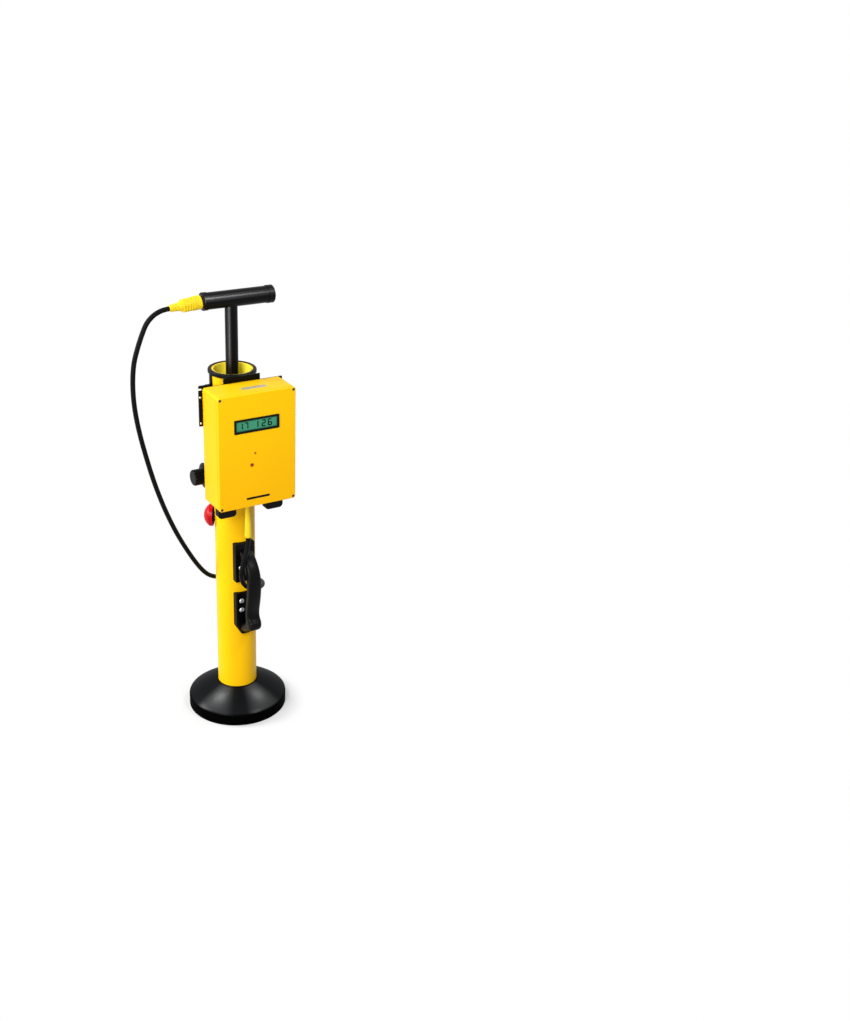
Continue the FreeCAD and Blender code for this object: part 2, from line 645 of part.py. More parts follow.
def build_readout_box():
    """The readout box: the body with its posts, the lid, the seal, the lid screws and the guard lugs."""
    deep = body_front - dim.box_back
    width, height = dim.box_width, dim.box_height
    post_x, post_z = width / 2 - dim.lid_screw_inset, height / 2 - dim.lid_screw_inset
    corners = [(-post_x, -post_z), (post_x, -post_z), (post_x, post_z), (-post_x, post_z)]

    case = new_body("box_body", (-dim.box_offset, -body_front, box_middle))
    pad(case, draw_rectangle(new_sketch(case, "XZ"), width, height), deep, reverse=True)
    dress(case, "Fillet", dim.box_corner, lambda e: along(e, "Y"))
    dress(case, "Fillet", 2.0, lambda e: at_y(e, deep))
    hollow = draw_rectangle(new_sketch(case, "XZ"), width - dim.box_wall * 2, height - dim.box_wall * 2)
    pocket(case, hollow, deep - dim.box_wall)
    posts = new_sketch(case, "XZ")
    for x, z in corners:
        draw_circle(posts, x, z, dim.post_radius)
    pad(case, posts, deep - dim.box_wall / 2, reverse=True)
    threads = new_sketch(case, "XZ")
    for x, z in corners:
        draw_circle(threads, x, z, dim.lid_screw_radius + dim.fit_gap)
    pocket(case, threads, lid_screw_reach + 1)
    back_holes = new_sketch(case, "XZ")
    for x, z in bracket_holes:
        draw_circle(back_holes, x, z, dim.clamp_screw_radius + dim.fit_gap)
    pocket(case, back_holes)
    outlet = new_sketch(case, "XY")
    draw_circle(outlet, dim.box_offset - dim.outlet_x, body_front - dim.outlet_y, dim.outlet_radius + dim.fit_gap)
    pocket(case, outlet, height / 2 + 1)

    seal = new_body("lid_gasket", (-dim.box_offset, -body_front, box_middle))
    sketch = draw_rectangle(new_sketch(seal, "XZ"), width - 1.6, height - 1.6)
    draw_rectangle(sketch, width - dim.box_wall * 2, height - dim.box_wall * 2)
    pad(seal, sketch, dim.gasket_thickness)
    dress(seal, "Fillet", dim.box_corner - 0.8,
          lambda e: along(e, "Y") and abs(e.BoundBox.XMax) > (width / 2 - 1.2).number)
    notches = new_sketch(seal, "XZ", dim.gasket_thickness)
    for x, z in corners:
        draw_circle(notches, x, z, dim.lid_screw_radius + dim.fit_gap)
    pocket(seal, notches)

    lid = new_body("box_lid", (-dim.box_offset, -box_seam, box_middle))
    pad(lid, draw_rectangle(new_sketch(lid, "XZ"), width, height), dim.lid_thickness)
    dress(lid, "Fillet", dim.box_corner, lambda e: along(e, "Y"))
    dress(lid, "Fillet", 1.2, lambda e: at_y(e, -dim.lid_thickness))
    window = new_sketch(lid, "XZ", dim.lid_thickness)
    draw_rectangle(window, window_width, window_height, -dim.display_shift, dim.display_rise)
    for x, z, radius in lamp_places:
        draw_circle(window, x, z, radius + dim.fit_gap)
    for x, z in corners:
        draw_circle(window, x, z, dim.lid_screw_radius + dim.fit_gap)
    pocket(lid, window)
    sinks = new_sketch(lid, "XZ", dim.lid_thickness)
    for x, z in corners:
        draw_circle(sinks, x, z, dim.lid_screw_head + 0.15)
    pocket(lid, sinks, screw_sink)

    screws = new_body("lid_screws", (-dim.box_offset, screw_sink - box_front, box_middle))
    heads, shanks = new_sketch(screws, "XZ"), new_sketch(screws, "XZ")
    for x, z in corners:
        draw_circle(heads, x, z, dim.lid_screw_head)
        draw_circle(shanks, x, z, dim.lid_screw_radius)
    pad(screws, heads, screw_sink - 0.2)
    pad(screws, shanks, dim.lid_thickness - screw_sink + dim.gasket_thickness + lid_screw_reach, reverse=True)

    guards = new_body("connector_guards", (-dim.box_offset, dim.guard_depth / 2 - dim.guard_place, dim.box_bottom))
    sketch = new_sketch(guards, "XZ")
    for side in (-1, 1):
        draw_rectangle(sketch, dim.guard_width, dim.guard_drop, dim.guard_spread * side / 2, -dim.guard_drop / 2)
    pad(guards, sketch, dim.guard_depth)
    dress(guards, "Fillet", 6.0, lambda e: along(e, "Y") and near(e.BoundBox.ZMin, -dim.guard_drop))
    dress(guards, "Fillet", 1.5, lambda e: at_y(e, -dim.guard_depth) and e.BoundBox.ZMax < -0.5)


def build_readout_inside():
    """What the readout box holds: the display, the circuit board on its standoffs, the cells and the lamps."""
    at_display = (-dim.box_offset - dim.display_shift, -box_front, box_middle + dim.display_rise)
    open_width = dim.display_width - dim.bezel_frame * 2
    open_height = dim.display_height - dim.bezel_frame * 2
    bezel = new_body("display_bezel", at_display)
    sketch = draw_rectangle(new_sketch(bezel, "XZ"), dim.display_width, dim.display_height)
    pad(bezel, draw_rectangle(sketch, open_width, open_height), dim.bezel_proud)
    dress(bezel, "Fillet", 1.0, lambda e: along(e, "Y") and abs(e.BoundBox.XMax) > (open_width / 2 + 1).number)
    sketch = draw_rectangle(new_sketch(bezel, "XZ"), window_width - dim.fit_gap * 2, window_height - dim.fit_gap * 2)
    pad(bezel, draw_rectangle(sketch, open_width, open_height), dim.lid_thickness, reverse=True)

    pane_width, pane_height = open_width - dim.fit_gap * 2, open_height - dim.fit_gap * 2
    glass = new_body("display_window", (at_display[0], glass_recess - box_front, at_display[2]))
    pad(glass, draw_rectangle(new_sketch(glass, "XZ"), pane_width, pane_height), dim.glass_thickness, reverse=True)

    module = new_body("display_module", (at_display[0], -box_seam, at_display[2]))
    cell = draw_rectangle(new_sketch(module, "XZ"), pane_width, pane_height)
    pad(module, cell, dim.lid_thickness - glass_recess - dim.glass_thickness)
    carrier = draw_rectangle(new_sketch(module, "XZ"), dim.display_width + 12, dim.display_height + 16)
    pad(module, carrier, dim.board_thickness, reverse=True)

    board_back = dim.box_back + dim.box_wall + dim.standoff_height
    standoff_x, standoff_z = dim.board_width / 2 - 6, dim.board_height / 2 - 6
    spots = [(x, z) for x in (-standoff_x, standoff_x) for z in (-standoff_z, standoff_z)]
    spigot = 1.4
    standoffs = new_body("board_standoffs", (-dim.box_offset, -board_back, box_middle))
    bodies, tips = new_sketch(standoffs, "XZ"), new_sketch(standoffs, "XZ")
    board = new_body("main_board", (-dim.box_offset, -board_back, box_middle))
    panel = draw_rectangle(new_sketch(board, "XZ"), dim.board_width, dim.board_height)
    for x, z in spots:
        draw_circle(bodies, x, z, dim.standoff_radius)
        draw_circle(tips, x, z, spigot)
        draw_circle(panel, x, z, spigot + dim.fit_gap)
    pad(standoffs, bodies, dim.standoff_height, reverse=True)
    pad(standoffs, tips, dim.board_thickness + 1.5)
    pad(board, panel, dim.board_thickness)
    chips = new_sketch(board, "XZ", dim.board_thickness - 0.1)
    for wide, high, x, z in ((18, 18, -14, 40), (10, 20, 18, 42), (24, 8, 20, 16), (9, 9, -28, 14)):
        draw_rectangle(chips, wide, high, x, z)
    pad(board, chips, 2.6)

    holder_front = board_back + dim.board_thickness
    pitch = dim.cell_radius * 2 + 0.9
    column = dim.cell_length / 2 + 0.4
    pack_drop = 33.0
    pack_z = box_middle - pack_drop
    tray_floor, tray_wall = 2.4, 1.5
    tray = new_body("battery_holder", (-dim.box_offset, -holder_front, pack_z))
    half = column + dim.cell_length / 2 + 0.4 + tray_wall
    pad(tray, draw_rectangle(new_sketch(tray, "XZ"), half * 2, pitch * 3 + 3), tray_floor)
    ends = new_sketch(tray, "XZ")
    for side in (-1, 1):
        draw_rectangle(ends, tray_wall, pitch * 3 + 3, (half - tray_wall / 2) * side, 0)
    pad(tray, ends, tray_floor + dim.cell_radius)
    cells = new_body("battery_cells", (-dim.box_offset - column - dim.cell_length / 2,
                                       -holder_front - tray_floor - dim.cell_radius - 0.1, pack_z))
    rounds = new_sketch(cells, "YZ")
    again = new_sketch(cells, "YZ", column * 2)
    for k in (-1, 0, 1):
        draw_circle(rounds, 0, pitch * k, dim.cell_radius)
        draw_circle(again, 0, pitch * k, dim.cell_radius)
    pad(cells, rounds, dim.cell_length)
    pad(cells, again, dim.cell_length)

    for name, (x, z, radius) in zip(("power_lamp", "battery_lamp"), lamp_places):
        face = -box_front - dim.lamp_proud * radius / dim.lamp_radius
        lamp = turned(name, [
            (0, 3 - box_seam), (radius + 0.6, 3 - box_seam), (radius + 0.6, -box_seam),
            (radius, -box_seam), (radius, face), (0, face),
        ], "Y", (x - dim.box_offset, 0, box_middle + z))
        dress(lamp, "Fillet", radius * 0.55, lambda e, face=face: at_y(e, face))


def build_outlet():
    """The socket in the box's underside, and the lower plug with its metal shell and its bend relief."""
    spot = (-dim.outlet_x, -dim.outlet_y, dim.box_bottom)
    flange, nut = dim.outlet_radius + 2, dim.outlet_radius + 1.6
    turned("box_socket", [
        (0, -socket_flange), (flange, -socket_flange), (flange, 0), (dim.outlet_radius, 0),
        (dim.outlet_radius, dim.box_wall), (nut, dim.box_wall), (nut, dim.box_wall + 2.5),
        (dim.outlet_radius - 1, dim.box_wall + 2.5), (dim.outlet_radius - 1, 13), (0, 13),
    ], "Z", spot)
    shell_start = -socket_flange
    shell_end = shell_start - dim.box_plug_length
    turned("box_plug_shell", [
        (0, shell_start), (dim.box_plug_radius, shell_start), (dim.box_plug_radius, shell_start - 9),
        (dim.box_plug_radius - 0.8, shell_start - 10), (dim.box_plug_radius - 0.8, shell_end), (0, shell_end),
    ], "Z", spot)
    boot_end = shell_end - dim.box_boot_length
    turned("box_plug_boot", [
        (0, shell_end), (boot_root, shell_end), (boot_tip, boot_end + 2), (boot_tip - 0.5, boot_end),
        (0, boot_end),
    ], "Z", spot)


def build_bracket():
    """The bracket behind the box, the clamp shell behind the tube, and the screws that join them."""
    plate, front = dim.plate_thickness, dim.box_back
    cheek_out = dim.cheek_gap + plate
    lip_in = dim.tube_radius + dim.shell_thickness + 0.8
    bracket = new_body("mounting_bracket", (0, -front, 0))
    wing_high = box_top - 1 - wing_bottom
    sketch = draw_rectangle(new_sketch(bracket, "XZ"), dim.wing_width, wing_high,
                            -dim.box_offset, wing_bottom + wing_high / 2)
    pad(bracket, sketch, plate, reverse=True)
    web_high = channel_top - channel_bottom
    web_mid = channel_bottom + web_high / 2
    pad(bracket, draw_rectangle(new_sketch(bracket, "XZ"), cheek_out * 2, web_high, 0, web_mid), plate, reverse=True)
    tab_top = box_top + dim.tab_rise
    tab_wide = 16.0
    left_edge = -dim.box_offset - dim.wing_width / 2
    tab = draw_rectangle(new_sketch(bracket, "XZ"), tab_wide, tab_top - channel_top,
                         left_edge + tab_wide / 2, (tab_top + channel_top) / 2)
    pad(bracket, tab, plate, reverse=True)
    dress(bracket, "Fillet", 2.5, lambda e: along(e, "Y") and near(e.BoundBox.ZMin, tab_top)
          and near(e.BoundBox.XMin, left_edge))
    notch_deep, notch_high = 5.0, 3.5
    notch = draw_rectangle(new_sketch(bracket, "XZ"), notch_deep * 2, notch_high, left_edge, box_top - 3)
    pocket(bracket, notch)
    bar_low, bar_top = channel_top - 6, box_top + dim.bar_height
    bar = draw_rectangle(new_sketch(bracket, "XZ"), dim.bar_width, bar_top - bar_low,
                         -dim.bar_shift, (bar_low + bar_top) / 2)
    pad(bracket, bar, front - dim.trim_radius - dim.running_gap, reverse=True)
    saddle_wide, saddle_reach = 34.0, 16.0
    saddle = draw_rectangle(new_sketch(bracket, "XZ"), saddle_wide, web_high - 16, 0, web_mid)
    pad(bracket, saddle, saddle_reach, reverse=True)
    sides = new_sketch(bracket, "XY", channel_bottom)
    fold = front + dim.parting
    for side in (-1, 1):
        outline = [(dim.cheek_gap, 0), (cheek_out, 0), (cheek_out, fold), (lip_in, fold),
                   (lip_in, fold - plate), (dim.cheek_gap, fold - plate)]
        draw_loop(sides, [(x * side, y) for x, y in outline])
    pad(bracket, sides, web_high)
    boss = new_sketch(bracket, "YZ", -cheek_out + 0.5)
    draw_circle(boss, front - dim.knob_y, knob_height, dim.stud_radius + 6)
    pad(bracket, boss, dim.knob_inner - cheek_out + 0.2, reverse=True)
    bore = new_sketch(bracket, "YZ")
    draw_circle(bore, front - dim.knob_y, knob_height, dim.stud_radius + dim.fit_gap)
    pocket(bracket, bore, dim.knob_inner + 1)
    hollow = new_sketch(bracket, "XY", channel_top + 1)
    draw_circle(hollow, 0, front, dim.tube_radius + dim.fit_gap)
    pocket(bracket, hollow, web_high + 2)
    holes = new_sketch(bracket, "XZ")
    for x, z in bracket_holes:
        draw_circle(holes, x - dim.box_offset, z + box_middle, dim.clamp_screw_radius + dim.fit_gap)
    for x, z in clamp_holes:
        draw_circle(holes, x, z, dim.clamp_screw_radius + dim.fit_gap)
    pocket(bracket, holes)

    shell_out = dim.tube_radius + dim.fit_gap + dim.shell_thickness
    shell = new_body("clamp_shell")
    ring = new_sketch(shell, "XY", shell_bottom)
    draw_circle(ring, 0, 0, shell_out)
    pad(shell, ring, shell_top - shell_bottom)
    ears = new_sketch(shell, "XY", channel_bottom)
    draw_rectangle(ears, cheek_out * 2, dim.shell_thickness, 0, dim.parting + dim.shell_thickness / 2)
    pad(shell, ears, web_high)
    front_half = new_sketch(shell, "XY", shell_top + 1)
    draw_rectangle(front_half, cheek_out * 2 + 4, 50, 0, dim.parting - 25)
    pocket(shell, front_half, shell_top - shell_bottom + 2)
    inside = new_sketch(shell, "XY", shell_top + 1)
    draw_circle(inside, 0, 0, dim.tube_radius + dim.fit_gap)
    pocket(shell, inside, shell_top - shell_bottom + 2)
    ear_holes = new_sketch(shell, "XZ")
    for x, z in clamp_holes:
        draw_circle(ear_holes, x, z, dim.clamp_screw_radius + dim.fit_gap)
    pocket(shell, ear_holes)

    rear = dim.parting + dim.shell_thickness
    screws = new_body("clamp_screws", (0, rear, 0))
    heads, shanks = new_sketch(screws, "XZ"), new_sketch(screws, "XZ")
    for x, z in clamp_holes:
        draw_circle(heads, x, z, dim.clamp_screw_radius + 1.6)
        draw_circle(shanks, x, z, dim.clamp_screw_radius)
    pad(screws, heads, 2.4, reverse=True)
    pad(screws, shanks, dim.shell_thickness + plate + 2)
    dress(screws, "Chamfer", 0.8, lambda e: at_y(e, 2.4))

    inner_face = front + dim.box_wall
    screws = new_body("bracket_screws", (-dim.box_offset, -inner_face, box_middle))
    heads, shanks = new_sketch(screws, "XZ"), new_sketch(screws, "XZ")
    for x, z in bracket_holes:
        draw_circle(heads, x, z, dim.clamp_screw_radius + 1.8)
        draw_circle(shanks, x, z, dim.clamp_screw_radius)
    pad(screws, heads, 2.4)
    pad(screws, shanks, dim.box_wall + plate, reverse=True)


def build_lock_knob():
    """The fluted knob with its flange, and the threaded stud that presses on the tube."""
    at = (0, -dim.knob_y, knob_height)
    near_face, far_face = -dim.knob_inner, -dim.knob_outer
    neck = near_face - 5
    knob = turned("lock_knob", [
        (near_face, dim.stud_radius + dim.fit_gap), (near_face, dim.knob_flange),
        (near_face - 2, dim.knob_flange), (neck, 9), (neck - 1, dim.knob_radius),
        (far_face, dim.knob_radius), (far_face, 0),
        (near_face - 12, 0), (near_face - 12, dim.stud_radius + dim.fit_gap),
    ], "X", at)
    dress(knob, "Chamfer", 1.4, lambda e: at_x(e, far_face))
    dress(knob, "Chamfer", 0.6, lambda e: near(e.BoundBox.YMax, dim.knob_flange))
    flutes = new_sketch(knob, "YZ", neck - 2.5)
    count = 14
    for k in range(count):
        turn = 2 * math.pi * k / count
        draw_circle(flutes, dim.knob_radius * round(math.cos(turn), 4),
                    dim.knob_radius * round(math.sin(turn), 4), 1.1)
    pocket(knob, flutes, dim.knob_outer)
    turned("lock_stud", [
        (near_face - 12, 0), (near_face - 12, dim.stud_radius),
        (stud_tip - 1, dim.stud_radius), (stud_tip, dim.stud_radius - 1), (stud_tip, 0),
    ], "X", at)


def build_button():
    """The push button: its neck on the tube, the switch on the neck and the hollow domed cap over the switch."""
    at = (0, 0, button_height)
    floor = dim.tube_radius + 3.0
    base = turned("button_base", [
        (-20, 0), (-20, dim.button_neck), (-floor, dim.button_neck), (-floor, 0),
    ], "X", at)
    cut = new_sketch(base, "XY", dim.button_neck + 2)
    draw_circle(cut, 0, 0, dim.tube_radius + dim.fit_gap)
    pocket(base, cut)
    switch_radius, well_radius, well_deep = 6.0, 2.9, 3.5
    well_floor = switch_top + well_deep
    turned("button_switch", [
        (-floor, 0), (-floor, switch_radius), (switch_top, switch_radius),
        (switch_top, well_radius), (well_floor, well_radius), (well_floor, 0),
    ], "X", at)
    roof, wall = dim.button_proud, 2.2
    inner, stem = dim.button_radius - wall, well_radius - dim.running_gap
    turned("button_cap", [
        (-dim.button_back, inner), (-dim.button_back, dim.button_radius), (-dome_shoulder, dim.button_radius),
        (-roof, 0, dome_radius), (switch_top + 0.5, 0), (switch_top + 0.5, stem),
        (4.5 - roof, stem), (-dome_shoulder - 2, inner - 1.5), (-dome_shoulder, inner),
    ], "X", at)
    for piece in PIECES[-3:]:
        turn_piece(piece, FreeCAD.Vector(0, 0, -1), dim.button_turn)


def build_carry_handle():
    """The carry handle: two foot plates saddled on the tube and the bowed grip between them, with its screws."""
    face = dim.carry_plate_face
    top, bottom = dim.carry_top, dim.carry_bottom
    wide, grip = dim.carry_plate_width / 2, dim.carry_grip_width
    upper_low = top - dim.carry_plate_length
    lower_high = upper_low - dim.carry_plate_gap
    cut_wide, cut_high = 9.0, 15.6
    handle = new_body("carry_handle", (0, -face, 0))
    plates = new_sketch(handle, "XZ")
    draw_rectangle(plates, wide * 2, dim.carry_plate_length, 0, (top + upper_low) / 2)
    draw_loop(plates, [
        (-wide, lower_high), (-wide, bottom + cut_high), (cut_wide - wide, bottom),
        (wide - cut_wide, bottom), (wide, bottom + cut_high), (wide, lower_high),
    ])
    pad(handle, plates, 10, reverse=True)
    dress(handle, "Fillet", 2.0, lambda e: along(e, "Y") and e.BoundBox.ZMin > (bottom + cut_high + 1).number)
    dress(handle, "Chamfer", 0.8, lambda e: at_y(e, 0))
    outward, down = dim.carry_reach / BOW_REACH, (top - bottom) / BOW_HEIGHT
    outline = []
    for point in BOW_OUTLINE:
        corner = (face - point[0] * outward, top - point[1] * down)
        outline.append(corner + tuple(radius * outward for radius in point[2:]))
    bow = draw_loop(new_sketch(handle, "YZ", -grip / 2), outline)
    pad(handle, bow, grip)
    cut = new_sketch(handle, "XY", top + 1)
    draw_circle(cut, 0, face, dim.tube_radius + dim.fit_gap)
    pocket(handle, cut)
    holes = new_sketch(handle, "XZ")
    for x, z in carry_holes:
        draw_circle(holes, x, z, dim.carry_screw_radius + dim.fit_gap)
    pocket(handle, holes)

    screws = new_body("handle_screws", (0, -face, 0))
    heads, shanks = new_sketch(screws, "XZ"), new_sketch(screws, "XZ")
    for x, z in carry_holes:
        draw_circle(heads, x, z, dim.carry_screw_head)
        draw_circle(shanks, x, z, dim.carry_screw_radius)
    pad(screws, heads, 2.2)
    pad(screws, shanks, face - tube_inner - 0.8, reverse=True)
    dress(screws, "Chamfer", 1.2, lambda e: at_y(e, -2.2))

    tube = [p for p in PIECES if p.Label == "guide_tube"][0]
    threads = new_sketch(tube, "XZ")
    for x, z in carry_holes:
        draw_circle(threads, x, z, dim.carry_screw_radius + dim.fit_gap)
    pocket(tube, threads, dim.tube_radius + 1, reverse=True)


def add_shape(name, shape):
    """Adds a piece whose shape is worked out in code from the sheet's sizes."""
    piece = doc.addObject("Part::Feature", name)
    piece.Label = name
    piece.Shape = shape
    PIECES.append(piece)
    return piece


def smooth_path(points):
    """Straight runs joined by tangent arcs, each as large as its two runs allow, and the arcs' radii."""
    edges, radii = [], []
    start = points[0]
    for before, corner, after in zip(points, points[1:], points[2:]):
        into, out = corner - before, after - corner
        half = into.getAngle(out) / 2
        trim = 0.45 * min(into.Length, out.Length)
        radii.append(trim / math.tan(half))
        into.normalize()
        out.normalize()
        first, last = corner - into * trim, corner + out * trim
        inward = (out - into).normalize()
        middle = corner + inward * (radii[-1] / math.cos(half) - radii[-1])
        edges.append(Part.LineSegment(start, first).toShape())
        edges.append(Part.Arc(first, middle, last).toShape())
        start = last
    edges.append(Part.LineSegment(start, points[-1]).toShape())
    return Part.Wire(edges), radii


def tube_along(wire, radius):
    """A solid round tube along a wire."""
    first = wire.Edges[0]
    start, heading = first.Vertexes[0].Point, first.tangentAt(first.FirstParameter)
    circle = Part.Wire([Part.Circle(start, heading, radius).toShape()])
    return wire.makePipeShell([circle], True, False)


def build_leads():
    """The sensor's lead up the rod, and the signal cable from the box round the tube to the plug."""
    bend = dim.lead_bend.number
    height = dim.handle_height.number
    low = (hammer_top - dim.rod_grip + sensor_neck).number
    end = (-dim.handle_left + lead_seat).number
    corner = FreeCAD.Vector(0, 0, height)
    middle = corner + FreeCAD.Vector(-1, 0, -1) * bend * (1 - math.sqrt(0.5))
    first, last = FreeCAD.Vector(0, 0, height - bend), FreeCAD.Vector(-bend, 0, height)
    lead = Part.Wire([
        Part.LineSegment(FreeCAD.Vector(0, 0, low), first).toShape(),
        Part.Arc(first, middle, last).toShape(),
        Part.LineSegment(last, FreeCAD.Vector(end, 0, height)).toShape(),
    ])
    add_shape("sensor_lead", tube_along(lead, dim.lead_radius.number))

    droop = math.radians(dim.plug_droop.number)
    reach = (dim.plug_sleeve_length + dim.plug_body_length + dim.plug_boot_length).number
    heading = FreeCAD.Vector(-math.cos(droop), 0, -math.sin(droop))
    plug_end = FreeCAD.Vector(plug_start.number, 0, height) + heading * reach
    drop = (socket_flange + dim.box_plug_length + dim.box_boot_length).number
    exit_point = FreeCAD.Vector(-dim.outlet_x.number, -dim.outlet_y.number, dim.box_bottom.number - drop)
    points = [exit_point]
    points += [FreeCAD.Vector(*p) for p in CABLE_ROUTE]
    points += [plug_end + heading * last_run, plug_end]
    wire, radii = smooth_path(points)
    cable = add_shape("signal_cable", tube_along(wire, dim.cable_radius.number))
    section = math.pi * dim.cable_radius.number ** 2
    print("cable radii", [round(r) for r in radii])
    print("cable length", round(wire.Length, 1), "volume share", round(cable.Shape.Volume / section / wire.Length, 4))


build_foot_and_tube()
build_hammer()
build_handle()
build_readout_box()
build_readout_inside()
build_outlet()
build_bracket()
build_lock_knob()
build_button()
build_carry_handle()
build_leads()
doc.recompute()

failed = [o.Label for o in doc.Objects if "Invalid" in o.State or "Error" in o.State]
if failed:
    raise SystemExit(f"failed objects: {failed}")
for piece in PIECES:
    if piece.Shape.isNull() or not piece.Shape.isValid():
        raise SystemExit(f"{piece.Label} has no valid shape")
os.makedirs("parts", exist_ok=True)
for piece in PIECES:
    piece.Shape.exportStep(f"parts/{piece.Label}.step")
    print(piece.Label, len(piece.Shape.Solids), round(piece.Shape.Volume))
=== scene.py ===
"""Soil impact tester: finishes, cable and fine detail over the CAD frame, with a plain studio."""
import math
import bpy
import numpy as np
from mathutils import Matrix, Vector


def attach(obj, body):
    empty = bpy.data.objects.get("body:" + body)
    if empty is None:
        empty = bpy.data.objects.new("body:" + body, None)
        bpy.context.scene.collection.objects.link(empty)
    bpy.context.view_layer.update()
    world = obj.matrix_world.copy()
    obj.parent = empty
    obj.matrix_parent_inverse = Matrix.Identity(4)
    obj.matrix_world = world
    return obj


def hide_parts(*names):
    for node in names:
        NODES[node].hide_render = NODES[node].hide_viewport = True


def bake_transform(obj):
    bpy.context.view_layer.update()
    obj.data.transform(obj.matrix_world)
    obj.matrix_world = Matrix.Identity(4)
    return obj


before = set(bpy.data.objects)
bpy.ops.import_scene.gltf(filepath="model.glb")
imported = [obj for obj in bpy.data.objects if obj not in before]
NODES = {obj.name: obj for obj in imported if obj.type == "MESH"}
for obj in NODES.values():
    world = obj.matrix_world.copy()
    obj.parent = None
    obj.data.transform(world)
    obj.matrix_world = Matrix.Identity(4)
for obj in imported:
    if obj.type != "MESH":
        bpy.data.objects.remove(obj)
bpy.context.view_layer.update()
scene = bpy.context.scene


# Camera: focal length and picture height in pixels, film height in mm, place in metres
FOCAL, PICTURE, FILM = 1320.43, 1021.0, 36.0
CAMERA_AT = (-0.7614, -1.6590, 1.1800)


def make_camera():
    """The camera at the photograph's place, from its right and forward directions."""
    right = Vector((0.8424, -0.5370, 0.0445)).normalized()
    forward = Vector((0.5039, 0.7559, -0.4179)).normalized()
    up = right.cross(forward).normalized()
    lens = bpy.data.cameras.new("camera")
    lens.sensor_fit = "AUTO"
    lens.sensor_width = FILM
    lens.lens = FOCAL * FILM / PICTURE
    lens.clip_start, lens.clip_end = 0.05, 50.0
    camera = bpy.data.objects.new("camera", lens)
    turn = Matrix((right, up, -forward)).transposed().to_4x4()
    camera.matrix_world = Matrix.Translation(CAMERA_AT) @ turn
    scene.collection.objects.link(camera)
    scene.camera = camera


# Shader maths
class Wire:
    """A socket in a finish's node tree. Arithmetic on it adds Math nodes."""

    def __init__(self, finish, socket):
        self.finish, self.socket = finish, socket

    def maths(self, operation, *values):
        return self.finish.node("ShaderNodeMath", {"operation": operation}, *values)

    def __add__(self, other):
        return self.maths("ADD", self, other)

    def __sub__(self, other):
        return self.maths("SUBTRACT", self, other)

    def __rsub__(self, other):
        return self.maths("SUBTRACT", other, self)

    def __mul__(self, other):
        return self.maths("MULTIPLY", self, other)

    def __truediv__(self, other):
        return self.maths("DIVIDE", self, other)

    __radd__, __rmul__ = __add__, __mul__

    def above(self, edge, soft):
        """1 where the value is above the edge and 0 below it, over a band of twice the soft width."""
        return self.finish.node("ShaderNodeMapRange", {"interpolation_type": "SMOOTHSTEP"},
                                self, edge - soft, edge + soft, 0.0, 1.0)

    def size(self):
        return self.maths("ABSOLUTE", self)

    def root(self):
        return self.maths("SQRT", self)

    def sine(self):
        return self.maths("SINE", self)

    def larger(self, other):
        return self.maths("MAXIMUM", self, other)


class Finish:
    """One material. Constants go on the surface's own sockets, and wires feed what varies."""

    def __init__(self, name, color, roughness, **constants):
        self.material = bpy.data.materials.new(name)
        self.material.use_nodes = True
        self.tree = self.material.node_tree
        self.surface = self.tree.nodes["Principled BSDF"]
        self.set("Base Color", (*color, 1.0))
        self.set("Roughness", roughness)
        for socket, value in constants.items():
            self.set(socket.replace("_", " "), value)

    def node(self, kind, settings, *values, out=0):
        """Adds a node of a type, sets its settings, then fills its inputs in order, None left alone."""
        made = self.tree.nodes.new(kind)
        for key, value in settings.items():
            setattr(made, key, value)
        usable = [s for s in made.inputs if s.enabled]
        for socket, value in zip(usable, values):
            if value is None:
                continue
            if isinstance(value, Wire):
                self.tree.links.new(value.socket, socket)
            else:
                socket.default_value = value
        shown = [s for s in made.outputs if s.enabled]
        return Wire(self, shown[out])

    def set(self, name, value):
        """Puts a wire or a constant on one of the surface's sockets."""
        socket = self.surface.inputs[name]
        if isinstance(value, Wire):
            self.tree.links.new(value.socket, socket)
        else:
            socket.default_value = value

    def place(self):
        """Object coordinates."""
        return self.node("ShaderNodeTexCoord", {}, out=3)

    def apart(self, vector):
        """The three parts of a vector."""
        first = self.node("ShaderNodeSeparateXYZ", {}, vector)
        shown = first.socket.node.outputs
        return [Wire(self, shown[i]) for i in range(3)]

    def noise(self, scale, detail=3.0, rough=0.55, stretch=None):
        """Fractal noise from 0 to 1 over the piece, with a scale per metre."""
        where = self.place()
        if stretch:
            where = self.node("ShaderNodeMapping", {}, where, None, None, stretch)
        return self.node("ShaderNodeTexNoise", {}, where, scale, detail, rough)

    def blend(self, share, first, second):
        """Colour that goes from first to second as the share goes from 0 to 1."""
        shades = [v if isinstance(v, Wire) else (*v, 1.0) for v in (first, second)]
        return self.node("ShaderNodeMix", {"data_type": "RGBA"}, share, *shades)

    def relief(self, height, depth, strength):
        """Feeds a height, scaled to a depth in metres, to the surface through a Bump node."""
        bump = self.tree.nodes.new("ShaderNodeBump")
        bump.inputs["Strength"].default_value = strength
        bump.inputs["Distance"].default_value = depth
        self.tree.links.new(height.socket, bump.inputs["Height"])
        self.tree.links.new(bump.outputs["Normal"], self.surface.inputs["Normal"])
        return self


def facing(a, b, toward_a, toward_b):
    """Cosine of the angle between the way out from an axis, (a, b), and the given direction."""
    return (a * toward_a + b * toward_b) / (a * a + b * b).root().larger(0.001)


# Places in metres where a finish changes: height of the cone's lower edge, a radius inside the tube's wall, and
# x of the box's left side. The last is the height of the T-handle's axis.
CONE_LOW, TUBE_WALL, BOX_LEFT = 0.0195, 0.0286, -0.0632
HANDLE_AXIS = 0.6636


